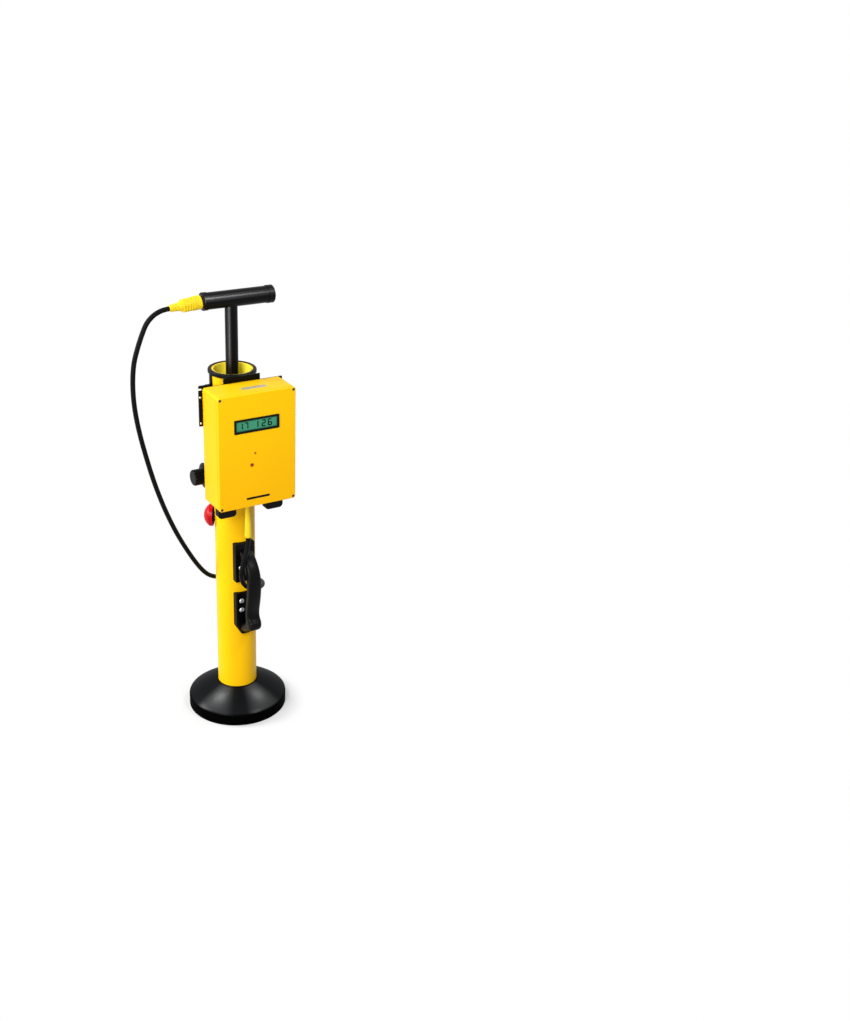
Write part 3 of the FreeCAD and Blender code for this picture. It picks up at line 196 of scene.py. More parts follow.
def powder_coat():
    """Charcoal coat of the foot: fine rings and a dull rim.

    The cone has a clear coat, heavier in two fans that are painted highlights.
    """
    f = Finish("powder_coat", (0.003, 0.003, 0.0035), 0.5, Specular_IOR_Level=0.005, Coat_Roughness=0.3)
    x, y, z = f.apart(f.place())
    away = (x * x + y * y).root()
    cloud, ring = f.noise(14.0, 4.0), (away * 5200.0).sine()
    cone = z.above(CONE_LOW, 0.0015)
    tint = f.blend(cloud, (0.0022, 0.0026, 0.0034), (0.004, 0.0048, 0.006))
    f.set("Base Color", f.blend(cone, (0.0008, 0.0008, 0.0009), tint))
    # painted highlights: two fans of heavier clear coat on the cone, facing the left front and the right front
    left, right = (facing(x, y, *way).above(0.945, 0.055) for way in ((-0.834, -0.552), (0.208, -0.978)))
    painted_highlight_fans = left + right
    f.set("Coat Weight", cone * (0.09 + cloud * 0.06 + painted_highlight_fans * 0.62))
    return f.relief(ring * 0.5 + cloud, 0.00003, 0.5)


def yellow_enamel():
    """Gloss yellow paint on steel pipe, a little uneven in colour and gloss; paler inside the tube as painted
    light.
    """
    f = Finish("yellow_enamel", (1.0, 0.56, 0.002), 0.3, Specular_IOR_Level=0.1)
    cloud, fine = f.noise(9.0, 4.0), f.noise(420.0, 2.0)
    x, y, _ = f.apart(f.place())
    # painted light: the tube's inner wall is painted a paler lemon yellow to stand in for light reaching into
    # it
    inside = (TUBE_WALL - (x * x + y * y).root()).above(0.0, 0.0006)
    outer = f.blend(cloud.above(0.5, 0.3), (1.0, 0.54, 0.002), (1.0, 0.58, 0.003))
    f.set("Base Color", f.blend(inside, outer, (1.0, 0.82, 0.05)))
    f.set("Roughness", 0.26 + cloud * 0.12)
    return f.relief(fine, 0.00006, 0.4)


def box_plastic():
    """Orange-yellow moulded housing with a very fine texture.

    Its colour is deeper towards the lower end and on the left side, as painted shade, and paler towards the
    top, as painted light.
    """
    f = Finish("box_plastic", (1.0, 0.56, 0.002), 0.42, Specular_IOR_Level=0.1)
    cloud, grain = f.noise(7.0, 3.0), f.noise(1500.0, 2.0)
    x, _, height = f.apart(f.place())
    # painted light and shade: paler towards the top, deeper towards the lower end
    share = height.above(0.462, 0.11) * 0.8 + cloud * 0.2
    # painted shade: the box's left side is a deeper colour
    side = (BOX_LEFT - x).above(0.0, 0.0003)
    front = f.blend(share, (1.0, 0.50, 0.002), (1.0, 0.60, 0.003))
    f.set("Base Color", f.blend(side, front, (0.94, 0.50, 0.001)))
    f.set("Roughness", 0.38 + cloud * 0.1)
    return f.relief(grain, 0.00004, 0.4)


def gloss_black(name="gloss_black"):
    """Smooth black with faint handling marks in its gloss."""
    f = Finish(name, (0.0014, 0.0014, 0.00147), 0.3, Specular_IOR_Level=0.085)
    marks = f.noise(60.0, 5.0, 0.65)
    f.set("Roughness", 0.3 + marks.above(0.5, 0.2) * 0.08)
    return f.relief(f.noise(300.0, 2.0), 0.00003, 0.4)


def banded_black(name, upright):
    """Gloss black with a lengthwise band of clear coat that carries the highlight seen in the photograph.

    Upright, the band is on the left front of the rod. Else it is on the upper front of the handle, and fades
    towards its right end.
    """
    f = gloss_black(name)
    f.set("Coat Roughness", 0.3)
    x, y, z = f.apart(f.place())
    if upright:
        band = facing(x, y, -0.74, -0.67).above(0.945, 0.045) * 0.8
    else:
        band = facing(y, z - HANDLE_AXIS, -0.857, 0.515).above(0.94, 0.05) * (0.85 - (x + 0.045) * 4.5)
    f.set("Coat Weight", band * (0.85 + f.noise(45.0, 4.0) * 0.3))
    return f


def satin_black(name="satin_black", shade=0.004, roughness=0.4):
    """Moulded plastic or rubber with a fine even grain: black, or the grey of the given shade."""
    f = Finish(name, (shade, shade, shade), roughness, Specular_IOR_Level=0.07)
    grain, cloud = f.noise(1100.0, 2.0), f.noise(40.0, 3.0)
    f.set("Roughness", roughness - 0.05 + cloud * 0.12)
    f.set("Base Color", f.blend(cloud, (shade * 0.8,) * 3, (shade * 1.3,) * 3))
    return f.relief(grain, 0.00008, 0.5)


def bright_metal(name="bright_metal", color=(0.72, 0.71, 0.69), roughness=0.2):
    """Nickel or bare steel with fine turned lines."""
    f = Finish(name, color, roughness, Metallic=1.0)
    cloud = f.noise(180.0, 4.0)
    f.set("Roughness", roughness + cloud * 0.14)
    f.set("Base Color", f.blend(cloud, tuple(c * 0.88 for c in color), color))
    return f.relief(f.noise(2500.0, 2.0), 0.00002, 0.4)


def soft_yellow():
    """The plugs' soft yellow plastic."""
    f = Finish("soft_yellow", (0.9, 0.66, 0.01), 0.42, Specular_IOR_Level=0.3)
    cloud = f.noise(60.0, 3.0)
    f.set("Base Color", f.blend(cloud, (0.78, 0.55, 0.006), (0.88, 0.66, 0.012)))
    f.set("Roughness", 0.36 + cloud * 0.14)
    return f.relief(f.noise(900.0, 2.0), 0.00001, 0.3)


def red_gloss(name="red_gloss", color=(0.50, 0.0, 0.004), roughness=0.28):
    """Red moulded plastic, glossy, a little deeper in patches."""
    f = Finish(name, color, roughness, Specular_IOR_Level=0.15)
    cloud = f.noise(50.0, 3.0)
    f.set("Base Color", f.blend(cloud, tuple(c * 0.85 for c in color), color))
    f.set("Roughness", roughness + cloud * 0.08)
    return f


def jacket():
    """The cable's smooth black jacket."""
    f = Finish("cable_jacket", (0.003, 0.003, 0.003), 0.38, Specular_IOR_Level=0.06)
    cloud = f.noise(80.0, 3.0)
    f.set("Roughness", 0.34 + cloud * 0.12)
    f.set("Base Color", f.blend(cloud, (0.0025, 0.0025, 0.0025), (0.004, 0.004, 0.004)))
    return f.relief(f.noise(700.0, 2.0), 0.00004, 0.4)


def display_face():
    """The display behind its window: green-teal, with the fine grid of its dots and a darker border."""
    middle, half_wide, half_high = (-0.0047, 0.50625), 0.0305, 0.0062
    f = Finish("display_face", (0.045, 0.27, 0.15), 0.25, Specular_IOR_Level=0.1)
    x, _, z = f.apart(f.place())
    across, up = (x - middle[0]).size(), (z - middle[1]).size()
    border = across.above(half_wide, 0.0004).larger(up.above(half_high, 0.0004))
    cloud = f.noise(30.0, 3.0)
    lit = f.blend(cloud, (0.042, 0.25, 0.14), (0.060, 0.32, 0.18))
    f.set("Base Color", f.blend(border * 0.55, lit, (0.012, 0.06, 0.04)))
    dots = (x * 9000.0).sine() * (z * 9000.0).sine()
    f.set("Roughness", 0.2 + cloud * 0.1)
    return f.relief(dots, 0.00001, 0.3)


def brushed_label():
    """A bare silver label with fine lengthwise brushing."""
    f = Finish("brushed_label", (0.60, 0.58, 0.50), 0.35, Metallic=0.6)
    lines = f.noise(900.0, 3.0, stretch=(0.03, 1.0, 1.0))
    f.set("Base Color", f.blend(lines, (0.34, 0.32, 0.23), (0.56, 0.53, 0.42)))
    f.set("Roughness", 0.28 + lines * 0.2)
    return f.relief(lines, 0.00002, 0.4)


POWDER, ENAMEL, PLASTIC = powder_coat(), yellow_enamel(), box_plastic()
HANDLE, ROD = banded_black("handle_black", False), banded_black("rod_black", True)
GLOSS, SATIN, METAL = gloss_black(), satin_black(), bright_metal()
DARK_METAL = bright_metal("dark_metal", (0.09, 0.075, 0.06), 0.35)
DOME = bright_metal("screw_nickel", (0.46, 0.47, 0.49), 0.36)
STEEL = bright_metal("machined_steel", (0.5, 0.5, 0.5), 0.3)
RED, LAMP_RED = red_gloss(), red_gloss("lamp_red", (0.28, 0.03, 0.008), 0.15)
LAMP_AMBER = red_gloss("lamp_amber", (0.30, 0.11, 0.02), 0.15)
PLUG, JACKET = soft_yellow(), jacket()
BOARD = satin_black("board_lacquer", 0.05, 0.4)
RING = satin_black("ring_plastic", 0.7, 0.4)
DISPLAY, LABEL = display_face(), brushed_label()
SEGMENT = satin_black("display_segment", 0.006, 0.35)
GASKET = satin_black("seal_rubber", 0.02, 0.5)

FINISHES = {
    POWDER: ["foot_flange"],
    ENAMEL: ["guide_tube"],
    PLASTIC: ["box_body", "box_lid"],
    GLOSS: ["mounting_bracket", "clamp_shell", "carry_handle"],
    HANDLE: ["handle_end_cap", "handle_collar", "handle_tube"],
    ROD: ["hammer_rod"],
    SATIN: ["rim_trim", "display_bezel", "battery_holder", "connector_guards", "button_base",
            "button_switch", "lock_knob", "battery_cells"],
    GASKET: ["lid_gasket"],
    METAL: ["acceleration_sensor"],
    DOME: ["handle_screws"],
    DISPLAY: ["display_window"],
    DARK_METAL: ["lid_screws", "handle_socket"],
    STEEL: ["bracket_screws", "clamp_screws", "board_standoffs", "box_socket", "hammer_weight",
            "rod_lock_nut", "lock_stud"],
    RED: ["button_cap"],
    LAMP_RED: ["power_lamp"],
    LAMP_AMBER: ["battery_lamp"],
    PLUG: ["box_plug_shell", "box_plug_boot", "plug_sleeve", "plug_body", "plug_boot"],
    JACKET: ["signal_cable", "sensor_lead"],
    BOARD: ["display_module", "main_board"],
    RING: ["guide_rings"],
}


# Points closer than this, in metres, are joined, and edges sharper than this, in degrees, stay creases
JOINED, CREASE = 0.000002, 30


def smooth_group():
    """Geometry nodes that join a piece's loose triangles and shade it smooth up to the crease."""
    group = bpy.data.node_groups.new("smooth_round_faces", "GeometryNodeTree")
    group.interface.new_socket("Geometry", in_out="INPUT", socket_type="NodeSocketGeometry")
    group.interface.new_socket("Geometry", in_out="OUTPUT", socket_type="NodeSocketGeometry")
    new, link = group.nodes.new, group.links.new
    start, end = new("NodeGroupInput"), new("NodeGroupOutput")
    merge = new("GeometryNodeMergeByDistance")
    faces, edges = new("GeometryNodeSetShadeSmooth"), new("GeometryNodeSetShadeSmooth")
    merge.inputs["Distance"].default_value = JOINED
    edges.domain = "EDGE"
    edges.inputs["Shade Smooth"].default_value = False
    angle, crease = new("GeometryNodeInputMeshEdgeAngle"), new("FunctionNodeCompare")
    crease.operation = "GREATER_THAN"
    crease.inputs[1].default_value = math.radians(CREASE)
    link(start.outputs[0], merge.inputs["Geometry"])
    link(merge.outputs[0], faces.inputs["Geometry"])
    link(faces.outputs[0], edges.inputs["Geometry"])
    link(angle.outputs["Unsigned Angle"], crease.inputs[0])
    link(crease.outputs[0], edges.inputs["Selection"])
    link(edges.outputs[0], end.inputs[0])
    return group


SMOOTH = smooth_group()


def finish_node(name, finish):
    """Gives a CAD node its material and smooth shading."""
    node = NODES[name]
    node.data.materials.clear()
    node.data.materials.append(finish.material)
    node.modifiers.new("smooth_round_faces", "NODES").node_group = SMOOTH


for finish, names in FINISHES.items():
    for name in names:
        finish_node(name, finish)


# Numpy surfaces
def grid_faces(rows, columns, base):
    """Faces of one grid that closes round, with its points numbered from base.

    Each end is a fan to one more point, and these two follow the grid's own points.
    """
    here = base + np.arange(rows * columns).reshape(rows, columns)
    after = np.roll(here, -1, axis=1)
    faces = np.stack([here[:-1], after[:-1], after[1:], here[1:]], axis=-1).reshape(-1, 4).tolist()
    first, last = base + rows * columns, base + rows * columns + 1
    faces += [[first, b, a] for a, b in zip(here[0], after[0])]
    faces += [[last, a, b] for a, b in zip(here[-1], after[-1])]
    return faces


def surface_mesh(name, grids, finish, body=None, stands_for=()):
    """A piece made of grids of points: rows run along it and columns go round it.

    Each end of a grid is closed by a fan to the mean of its last row.
    """
    points, faces = np.zeros((0, 3)), []
    for grid in grids:
        rows, columns = grid.shape[:2]
        faces += grid_faces(rows, columns, len(points))
        ends = [grid[0].mean(axis=0), grid[-1].mean(axis=0)]
        points = np.concatenate([points, grid.reshape(-1, 3), ends])
    mesh = bpy.data.meshes.new(name)
    mesh.from_pydata(points.tolist(), [], faces)
    mesh.materials.append(finish.material)
    piece = bpy.data.objects.new(name, mesh)
    scene.collection.objects.link(piece)
    piece.modifiers.new("smooth_round_faces", "NODES").node_group = SMOOTH
    if body:
        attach(piece, body)
    if stands_for:
        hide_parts(*stands_for)
    return piece


def normals_along(path):
    """Two unit normals at each point of a path, n1 and n2 = t x n1, with n1 carried on as n1 - t (n1 . t)."""
    tangents = np.gradient(path, axis=0)
    tangents /= np.linalg.norm(tangents, axis=1)[:, None]
    side = np.cross(tangents[0], (0.31, 0.87, 0.37))
    normals = []
    for t in tangents:
        side = side - t * np.dot(side, t)
        side /= np.linalg.norm(side)
        normals.append(side)
    normals = np.array(normals)
    return normals, np.cross(tangents, normals)


def round_turn(sides):
    """Angles of one turn in equal steps."""
    return np.linspace(0, 2 * np.pi, sides, endpoint=False)


def tube_mesh(name, path, radius, finish, sides=20):
    """A round tube: p + radius (n1 cos t + n2 sin t) at each point p of the path."""
    a, b = normals_along(path)
    turn = round_turn(sides)
    ring = np.cos(turn)[None, :, None] * a[:, None, :] + np.sin(turn)[None, :, None] * b[:, None, :]
    return surface_mesh(name, [path[:, None, :] + radius * ring], finish)


def turned_grid(profile, at, axis, sides=48, ribs=0, deep=0.0, ribbed=(0, 0)):
    """A turned form with sizes in mm: at + s axis + r (cos t, sin t), for each (s, r) of the profile.

    Where s is in the ribbed range, r is lowered by deep |sin(ribs t / 2)|^3.
    """
    axis = np.array(axis, float) / np.linalg.norm(axis)
    side = np.cross(axis, (0.0, 0.3, 1.0) if abs(axis[2]) < 0.9 else (0.0, 1.0, 0.0))
    side /= np.linalg.norm(side)
    other = np.cross(axis, side)
    turn = round_turn(sides)
    across = np.cos(turn)[:, None] * side + np.sin(turn)[:, None] * other
    s, r = np.array(profile, float).T[:, :, None]
    lowered = (s >= ribbed[0]) * (s <= ribbed[1]) * deep * np.abs(np.sin(ribs * turn / 2)) ** 3
    return (np.array(at, float) + s[:, :, None] * axis + (r - lowered)[:, :, None] * across) / 1000.0


def box_grid(low, high, edge=0.15):
    """A thin plate from low to high in mm: its z rows are inset by the edge at both ends, as bevels."""
    (x0, y0, z0), (x1, y1, z1) = low, high
    inset = np.array([edge, 0.0, 0.0, edge])[:, None]
    x = np.where([0, 1, 1, 0], x1 - inset, x0 + inset)
    y = np.where([0, 0, 1, 1], y1 - inset, y0 + inset)
    z = np.repeat([[z0], [z0 + edge], [z1 - edge], [z1]], 4, axis=1)
    return np.stack([x, y, z], axis=2) / 1000.0


def smooth_line(points, steps=6):
    """A Catmull-Rom line through a table of points: a cubic in the share from each point to the next."""
    points = np.array(points, float)
    padded = np.concatenate([[2 * points[0] - points[1]], points, [2 * points[-1] - points[-2]]])
    p0, p1, p2, p3 = (padded[i:len(padded) - 3 + i, None] for i in range(4))
    share = np.linspace(0, 1, steps, endpoint=False)[:, None]
    cubic = 3 * p1 - p0 - 3 * p2 + p3
    square = 2 * p0 - 5 * p1 + 4 * p2 - p3
    line = p1 + 0.5 * share * (p2 - p0 + share * (square + share * cubic))
    return np.concatenate([line.reshape(-1, points.shape[1]), points[-1:]])


# Carry handle in mm: height of its top, distances from the tube's axis of its plates' back and face, and the
# depth of the middle of its screws below the top. The bow's pairs are an outer and an inner point, each as a
# distance from the tube's axis and a depth below the top.
HANDLE_TOP, PLATE_BACK, PLATE_FACE, SCREW_MIDDLE = 296.4, 30.0, 35.5, 76.1
BOW_PAIRS = [
    (33.5, 9.5, 33.5, 25.5), (40.0, 11.4, 38.5, 26.3), (48.0, 15.8, 43.0, 28.8),
    (56.0, 22.2, 47.5, 33.2), (63.5, 30.5, 51.5, 39.2), (68.8, 40.0, 54.8, 46.0),
    (71.4, 50.0, 57.2, 53.0), (72.0, 60.0, 57.9, 62.0), (71.2, 71.0, 56.8, 72.0),
    (69.4, 83.0, 55.0, 82.5), (67.0, 94.0, 53.0, 93.0), (64.8, 103.5, 51.4, 103.0),
    (64.4, 111.0, 51.0, 111.0), (66.8, 116.5, 51.0, 117.0), (71.0, 120.2, 50.4, 121.5),
    (73.2, 125.3, 49.0, 125.6), (71.6, 131.0, 47.0, 128.6), (66.5, 135.2, 44.6, 130.8),
    (57.5, 140.2, 41.5, 132.2), (49.5, 144.2, 38.5, 133.2), (42.5, 147.8, 36.0, 133.8),
    (33.5, 149.2, 33.5, 134.2),
]


def bow_grid(width=21.0, sides=40, power=3.2):
    """The grip: a superellipse |x/a|^n + |m/b|^n = 1 carried along the middle of the outer and inner lines."""
    pairs = smooth_line(BOW_PAIRS)
    outer = np.stack([-pairs[:, 0], HANDLE_TOP - pairs[:, 1]], axis=1)
    inner = np.stack([-pairs[:, 2], HANDLE_TOP - pairs[:, 3]], axis=1)
    turn = round_turn(sides)
    c = np.sign(np.cos(turn)) * np.abs(np.cos(turn)) ** (2 / power)
    s = np.sign(np.sin(turn)) * np.abs(np.sin(turn)) ** (2 / power)
    middle, half = (outer + inner) / 2, (outer - inner) / 2
    grid = np.zeros((len(pairs), sides, 3))
    grid[:, :, 0] = width / 2 * c
    grid[:, :, 1] = middle[:, None, 0] + half[:, None, 0] * s
    grid[:, :, 2] = middle[:, None, 1] + half[:, None, 1] * s
    return grid / 1000.0


def rounded(corners, radius, steps=5):
    """A polygon with each corner c bent: (1-t)^2 a + 2t(1-t) c + t^2 b, where a and b are a radius from c."""
    c = np.array(corners, float)
    before, after = np.roll(c, 1, axis=0) - c, np.roll(c, -1, axis=0) - c
    a = c + before * radius / np.linalg.norm(before, axis=1)[:, None]
    b = c + after * radius / np.linalg.norm(after, axis=1)[:, None]
    t = np.linspace(0, 1, steps)[:, None]
    bends = (1 - t) ** 2 * a[:, None] + 2 * t * (1 - t) * c[:, None] + t * t * b[:, None]
    return bends.reshape(-1, 2)


def plate_grid(corners, edge=1.3, bend=2.2):
    """A foot plate: its outline from the tube's surface to the face, with the face's edge rolled over.

    At the turn t the outline is inset by edge (1 - cos t), and lies edge (1 - sin t) behind the face.
    """
    line = rounded(corners, bend)
    middle = (line.max(axis=0) + line.min(axis=0)) / 2
    half = (line.max(axis=0) - line.min(axis=0)) / 2
    back = np.stack([line[:, 0], -np.sqrt(PLATE_BACK ** 2 - line[:, 0] ** 2), line[:, 1]], axis=1)
    t = np.linspace(0, np.pi / 2, 6)[:, None, None]
    x, z = np.moveaxis(middle + (line - middle) * (1 - edge * (1 - np.cos(t)) / half), 2, 0)
    y = np.broadcast_to(-PLATE_FACE + edge * (1 - np.sin(t[:, :, 0])), x.shape)
    return np.concatenate([back[None], np.stack([x, y, z], axis=2)]) / 1000.0


def make_carry_handle():
    """The foot plates, the bowed grip and the dome-headed screws, each with a round hollow in its head."""
    top, bottom, half_wide, half_foot = HANDLE_TOP, 140.4, 16.0, 7
    upper_end, lower_end, slope = top - 64.7, 212, bottom + 15.6
    upper = [(-half_wide, upper_end), (half_wide, upper_end), (half_wide, top), (-half_wide, top)]
    lower = [(-half_wide, slope), (-half_foot, bottom), (half_foot, bottom), (half_wide, slope),
             (half_wide, lower_end), (-half_wide, lower_end)]
    grids = [plate_grid(upper), plate_grid(lower), bow_grid()]
    handle = surface_mesh("carry_handle_moulding", grids, GLOSS, body="stand", stands_for=["carry_handle"])
    dome = [(0, 3.85), (0.5, 3.9), (1.1, 3.5), (1.6, 2.9), (2.0, 2.1), (2.2, 1.3), (2.2, 1.1), (1.3, 1.0)]
    places = [(x, top - SCREW_MIDDLE + up) for x in (-7.2, 7.2) for up in (-36.5, -21, 21.5, 36)]
    heads = [turned_grid(dome, (x, -PLATE_FACE, z), (0, -1, 0), sides=24) for x, z in places]
    screws = surface_mesh("handle_screw_heads", heads, DOME, body="stand", stands_for=["handle_screws"])


def make_upper_plug():
    """The upper plug: its sleeve with lengthwise ribs, the grooved body and the ringed bend relief."""
    droop, wide, groove = math.radians(5.3), 9.9, 9.5
    at, axis = (-46.34, 0, 663.6), (-math.cos(droop), 0, -math.sin(droop))
    sleeve = [(0, 8.9), (0.5, 9.7)] + [(s, wide) for s in (1.4, 1.6, 6, 11, 11.4)] + [(12.4, 9.7), (13, 9.0)]
    ribbed = turned_grid(sleeve, at, axis, sides=160, ribs=22, deep=0.35, ribbed=(1.5, 11.1))
    body = [(13, 8.6), (13.4, 9.6), (14.0, wide), (15.4, wide)]
    for start in (15.4, 19.4, 23.4):
        body += [(start, wide), (start + 0.25, groove), (start + 1.75, groove), (start + 2, wide)]
    body += [(27.0, wide), (27.6, 9.6), (27.8, 8.9)]
    grooved = turned_grid(body, at, axis, sides=96, ribs=6, deep=0.7, ribbed=(13.3, 27.7))
    boot = [(27.8, 7.1), (30.6, 7.0), (31.4, 6.3)]
    for k in range(5):
        start, high, low = 31.8 + 2.6 * k, 6.2 - 0.26 * k, 5.75 - 0.26 * k
        boot += [(start, high), (start + 1.5, high - 0.1), (start + 1.8, low), (start + 2.3, low)]
    boot += [(45.0, 4.9), (46.0, 4.7), (46.3, 4.3)]
    ringed = turned_grid(boot, at, axis)
    pieces = []
    for name, grid, node in (
            ("plug_ribbed_sleeve", ribbed, "plug_sleeve"),
            ("plug_grooved_body", grooved, "plug_body"),
            ("plug_ringed_boot", ringed, "plug_boot")):
        pieces.append(surface_mesh(name, [grid], PLUG, body="hammer", stands_for=[node]))
    return pieces


# Seven-segment digits: which of the top, upper left, upper right, middle, lower left, lower right and bottom
# segments are dark
DIGITS = {"1": "0010010", "7": "1010010", "2": "1011101", "6": "1101111"}


def digit_grids(digit, x, z, wide=4.8, high=8.9, line=1.8, face=-88.45, thick=0.04, overlap=0.3):
    """The dark segments of one digit as thin plates, each a long hexagon with pointed ends. Sizes are in mm."""
    half = high / 2
    spots = [((0, high), (wide, high)), ((0, half), (0, high)), ((wide, half), (wide, high)),
             ((0, half), (wide, half)), ((0, 0), (0, half)), ((wide, 0), (wide, half)), ((0, 0), (wide, 0))]
    grids = []
    for dark, (start, end) in zip(DIGITS[digit], spots):
        if dark == "0":
            continue
        a, b = np.array(start, float), np.array(end, float)
        along = (b - a) / np.linalg.norm(b - a)
        side = np.array([-along[1], along[0]]) * line / 2
        a, b = a - along * overlap, b + along * overlap
        tip = along * line / 2
        ring = np.array([a, a + tip + side, b - tip + side, b, b - tip - side, a + tip - side]) + (x, z)
        rows = [np.insert(ring, 1, y, axis=1) for y in (face, face + thick)]
        grids.append(np.array(rows) / 1000.0)
    return grids


def dash_grid(middle_x=-3.4, middle_z=394.4, half_wide=17.2, half_high=1.7, sides=24):
    """The dash near the lid's lower edge: a thin bar with rounded ends, its face's edge bevelled.

    In mm, x is the middle plus or minus half the width plus cos t, and z the middle plus the half height times
    2.2 sin t, kept within -1 and 1.
    """
    turn = round_turn(sides)
    y, inset = np.array([(-88.95, 0.0), (-89.06, 0.0), (-89.08, 0.12)]).T[:, :, None]
    x = middle_x + np.where(np.cos(turn) > 0, half_wide, -half_wide) + np.cos(turn) * (1.0 - inset)
    z = middle_z + np.clip(np.sin(turn) * 2.2, -1, 1) * (half_high - inset)
    return np.stack([x, np.broadcast_to(y, x.shape), z], axis=2) / 1000.0


def cross_grids(x, z, arm=1.3, half=0.25, face=-88.86, head=-88.8):
    """The two arms of a screw's cross slot, as thin dark plates on its head: painted shade for the slot. Sizes
    are in mm.
    """
    return [box_grid((x - a, face, z - b), (x + a, head, z + b), 0.02) for a, b in ((arm, half), (half, arm))]


def make_box_details():
    """The display's digits, the bare label, the dash, the rivets of the left wing and the painted shade of the
    lid screws' slots.
    """
    digits, slots, digit_foot = [], [], 501.8
    for digit, x in zip("17126", (-31.5, -23.0, -7.5, 4.0, 13.5)):
        digits += digit_grids(digit, x, digit_foot)
    # painted shade: dark plates on the lid screws' heads stand for the shade in their cross slots
    for x in (-59.9, 52.9):
        for z in (384.6, 548.9):
            slots += cross_grids(x, z)
    label = box_grid((-16.5, -70.0, 552.4), (21.5, -61.5, 552.62), 0.08)
    rivet = [(0, 1.7), (0.3, 1.65), (0.7, 1.2), (0.9, 0.5)]
    rivets = [turned_grid(rivet, (-66.1, -36.95, z), (0, -1, 0), sides=20) for z in (499.5, 538.0)]
    for name, grids, finish, slot in (
            ("display_digits", digits, SEGMENT, "black_plastic"),
            ("box_label", [label], LABEL, "steel"),
            ("front_dash", [dash_grid()], SEGMENT, "black_plastic"),
            ("wing_rivets", rivets, METAL, "nickel"),
            ("lid_screw_slot_shade", slots, SATIN, "black_plastic")):
        surface_mesh(name, grids, finish, body="stand")


# Signal cable: control points of its spline, in mm
CABLE = [
    (-5.0, -57.0, 316.8),
    (-5.0, -57.0, 307.5), (-7.8, -57.5, 295.0), (-12.6, -58.5, 282.5), (-15.8, -58.4, 270.0),
    (-16.9, -56.6, 257.5), (-15.0, -53.5, 245.6), (-9.8, -50.3, 235.1), (-1.3, -47.2, 226.4),
    (9.7, -43.7, 220.6), (21.0, -37.4, 216.5), (30.3, -28.6, 213.0), (37.8, -17.6, 210.0),
    (41.7, -4.8, 207.5), (41.1, 8.7, 205.0), (36.2, 21.3, 203.0), (27.7, 31.6, 201.8),
    (16.3, 38.7, 201.8), (3.2, 41.9, 203.0), (-10.2, 40.8, 206.2), (-22.8, 36.4, 212.3),
    (-36.0, 30.8, 223.0), (-51.0, 26.2, 243.0), (-68.0, 22.5, 272.0), (-87.0, 18.0, 309.0),
    (-106.0, 12.5, 354.0), (-121.5, 8.5, 400.0), (-134.0, 4.5, 446.0), (-144.0, 1.5, 489.0),
    (-149.5, 0.5, 528.0), (-150.0, 0.0, 562.0), (-147.0, 0.0, 588.0), (-141.5, 0.0, 606.0),
    (-135.8, 0.0, 621.3), (-130.7, 0.0, 633.2), (-127.0, 0.0, 640.6), (-121.9, 0.0, 647.0),
    (-115.7, 0.0, 652.3), (-108.5, 0.0, 656.2),
    (-100.61, 0.0, 658.57), (-92.44, 0.0, 659.32),
]


def spline_points(points, steps=12):
    """Points read from the NURBS spline that has the given control points."""
    curve = bpy.data.curves.new("cable_line", "CURVE")
    curve.dimensions = "3D"
    line = curve.splines.new("NURBS")
    line.points.add(len(points) - 1)
    for point, at in zip(line.points, points):
        point.co = (at[0] / 1000, at[1] / 1000, at[2] / 1000, 1.0)
    line.order_u = 3
    line.use_endpoint_u = True
    line.resolution_u = steps
    holder = bpy.data.objects.new("cable_line", curve)
    scene.collection.objects.link(holder)
    bpy.context.view_layer.update()
    mesh = bpy.data.meshes.new_from_object(holder)
    at = np.zeros(len(mesh.vertices) * 3)
    mesh.vertices.foreach_get("co", at)
    bpy.data.objects.remove(holder)
    return at.reshape(-1, 3)


def make_cable(plug, radius=0.0035):
    """The signal cable: a round tube along its spline, from the lower plug to the upper plug."""
    path = spline_points(CABLE)
    cable = tube_mesh("signal_cable_jacket", path, radius, JACKET)
    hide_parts("signal_cable")
    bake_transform(cable)


# Studio
def seen_white(tree, light, white):
    """A mix of a shader with a white one for the rays of the camera, of reflections and of glass.

    Gives the share of those rays and the Mix Shader node, whose factor is still to be linked.
    """
    rays = tree.nodes.new("ShaderNodeLightPath")
    seen = rays.outputs["Is Camera Ray"]
    for name in ("Is Glossy Ray", "Is Transmission Ray"):
        larger = tree.nodes.new("ShaderNodeMath")
        larger.operation = "MAXIMUM"
        tree.links.new(seen, larger.inputs[0])
        tree.links.new(rays.outputs[name], larger.inputs[1])
        seen = larger.outputs[0]
    mix = tree.nodes.new("ShaderNodeMixShader")
    tree.links.new(light, mix.inputs[1])
    tree.links.new(white, mix.inputs[2])
    return seen, mix


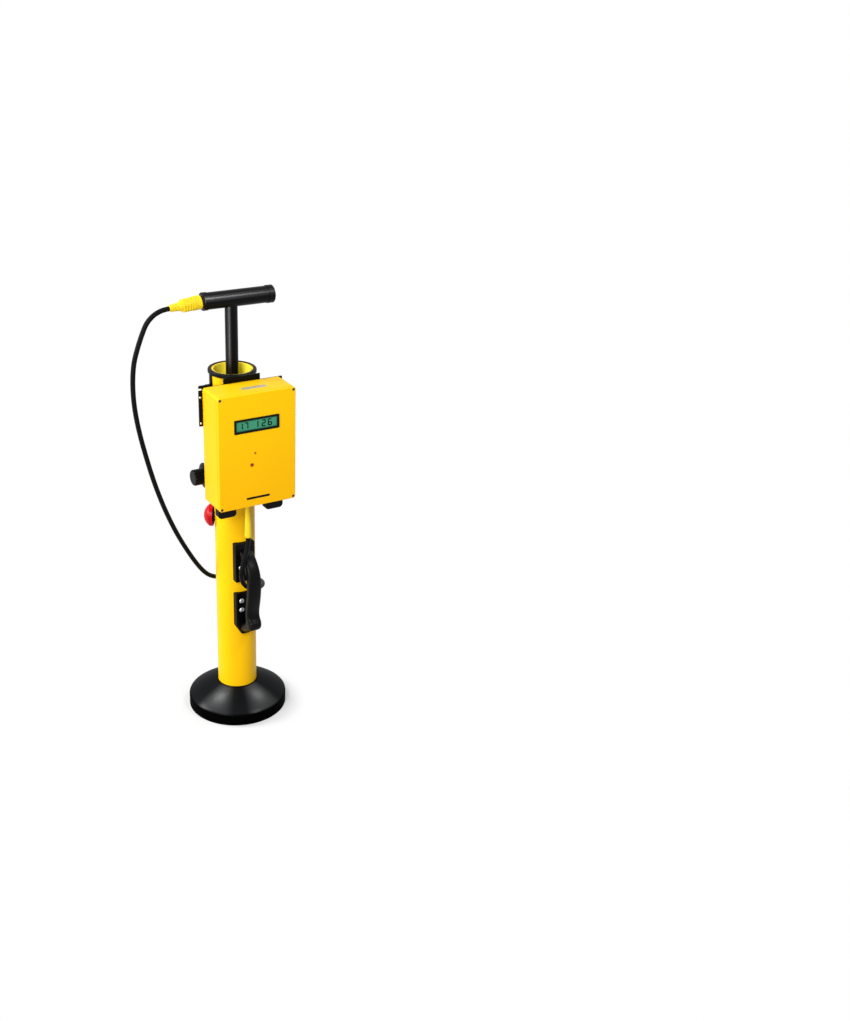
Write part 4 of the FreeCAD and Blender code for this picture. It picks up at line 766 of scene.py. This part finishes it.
def make_floor():
    """A round pale floor that takes the foot's soft shadow near the object and is plain white further out.

    It is darker for the rays that light the object than for the camera.
    """
    reach, shadow_edge, edge_soft, near_share = 12, 0.094, 0.018, 0.32
    rim = [(reach * math.cos(t), reach * math.sin(t), 0) for t in round_turn(64)]
    mesh = bpy.data.meshes.new("floor")
    mesh.from_pydata(rim, [], [list(range(len(rim)))])
    floor = bpy.data.objects.new("floor", mesh)
    scene.collection.objects.link(floor)
    f = Finish("studio_floor", (0.72, 0.72, 0.72), 0.9, Specular_IOR_Level=0.0)
    x, y, _ = f.apart(f.place())
    camera = Wire(f, f.tree.nodes.new("ShaderNodeLightPath").outputs["Is Camera Ray"])
    f.set("Base Color", f.blend(camera, (0.3, 0.3, 0.3), (0.75, 0.75, 0.75)))
    share = (x * x + y * y).root().above(shadow_edge, edge_soft) * (1 - near_share) + near_share
    glow = f.tree.nodes.new("ShaderNodeEmission")
    seen, mix = seen_white(f.tree, f.surface.outputs[0], glow.outputs[0])
    f.tree.links.new((share * Wire(f, seen)).socket, mix.inputs[0])
    f.tree.links.new(mix.outputs[0], f.tree.nodes["Material Output"].inputs[0])
    mesh.materials.append(f.material)


# Lamps: name, place from the middle of the object, width and height in metres, and level: how bright a white
# surface in the middle would look that faces the lamp.
MIDDLE = (0, 0, 0.35)
LAMPS = [
    ("key", (-1.52, -1.59, 1.38), 0.8, 1.2, 0.66),
    ("left_soft", (-2.0, 1.34, 0.98), 0.8, 1.4, 0.7),
    ("handle_strip", (0.68, -1.43, 1.79), 0.45, 0.14, 0.26),
    ("rod_strip", (-1.08, -0.53, 0.1), 0.05, 0.9, 0.4),
    ("foot_strip", (-0.59, 0.68, 1.46), 0.25, 0.5, 0.3),
    ("top_strip", (1.02, 0.05, 1.39), 0.25, 0.4, 0.16),
]


def make_studio():
    """The floor, a surround that is seen white but gives little light, and lamps hidden from the camera."""
    make_floor()
    world = bpy.data.worlds.new("surround")
    scene.world = world
    world.use_nodes = True
    tree = world.node_tree
    light, white = tree.nodes["Background"], tree.nodes.new("ShaderNodeBackground")
    for background, strength in ((light, 0.2), (white, 1.0)):
        background.inputs[0].default_value = (1, 1, 1, 1)
        background.inputs[1].default_value = strength
    seen, mix = seen_white(tree, light.outputs[0], white.outputs[0])
    tree.links.new(seen, mix.inputs[0])
    tree.links.new(mix.outputs[0], tree.nodes["World Output"].inputs[0])
    for name, away, wide, high, level in LAMPS:
        away = Vector(away)
        distance = away.length
        lamp = bpy.data.lights.new(name, "AREA")
        lamp.shape, lamp.size, lamp.size_y = "RECTANGLE", wide, high
        lamp.energy = level * math.pi * math.pi * distance * distance
        holder = bpy.data.objects.new(name, lamp)
        holder.location = Vector(MIDDLE) + away
        holder.rotation_euler = away.to_track_quat("Z", "Y").to_euler()
        holder.visible_camera = False
        scene.collection.objects.link(holder)
    scene.view_settings.view_transform = "Standard"


make_camera()
make_carry_handle()
make_cable(make_upper_plug())
make_box_details()
make_studio()
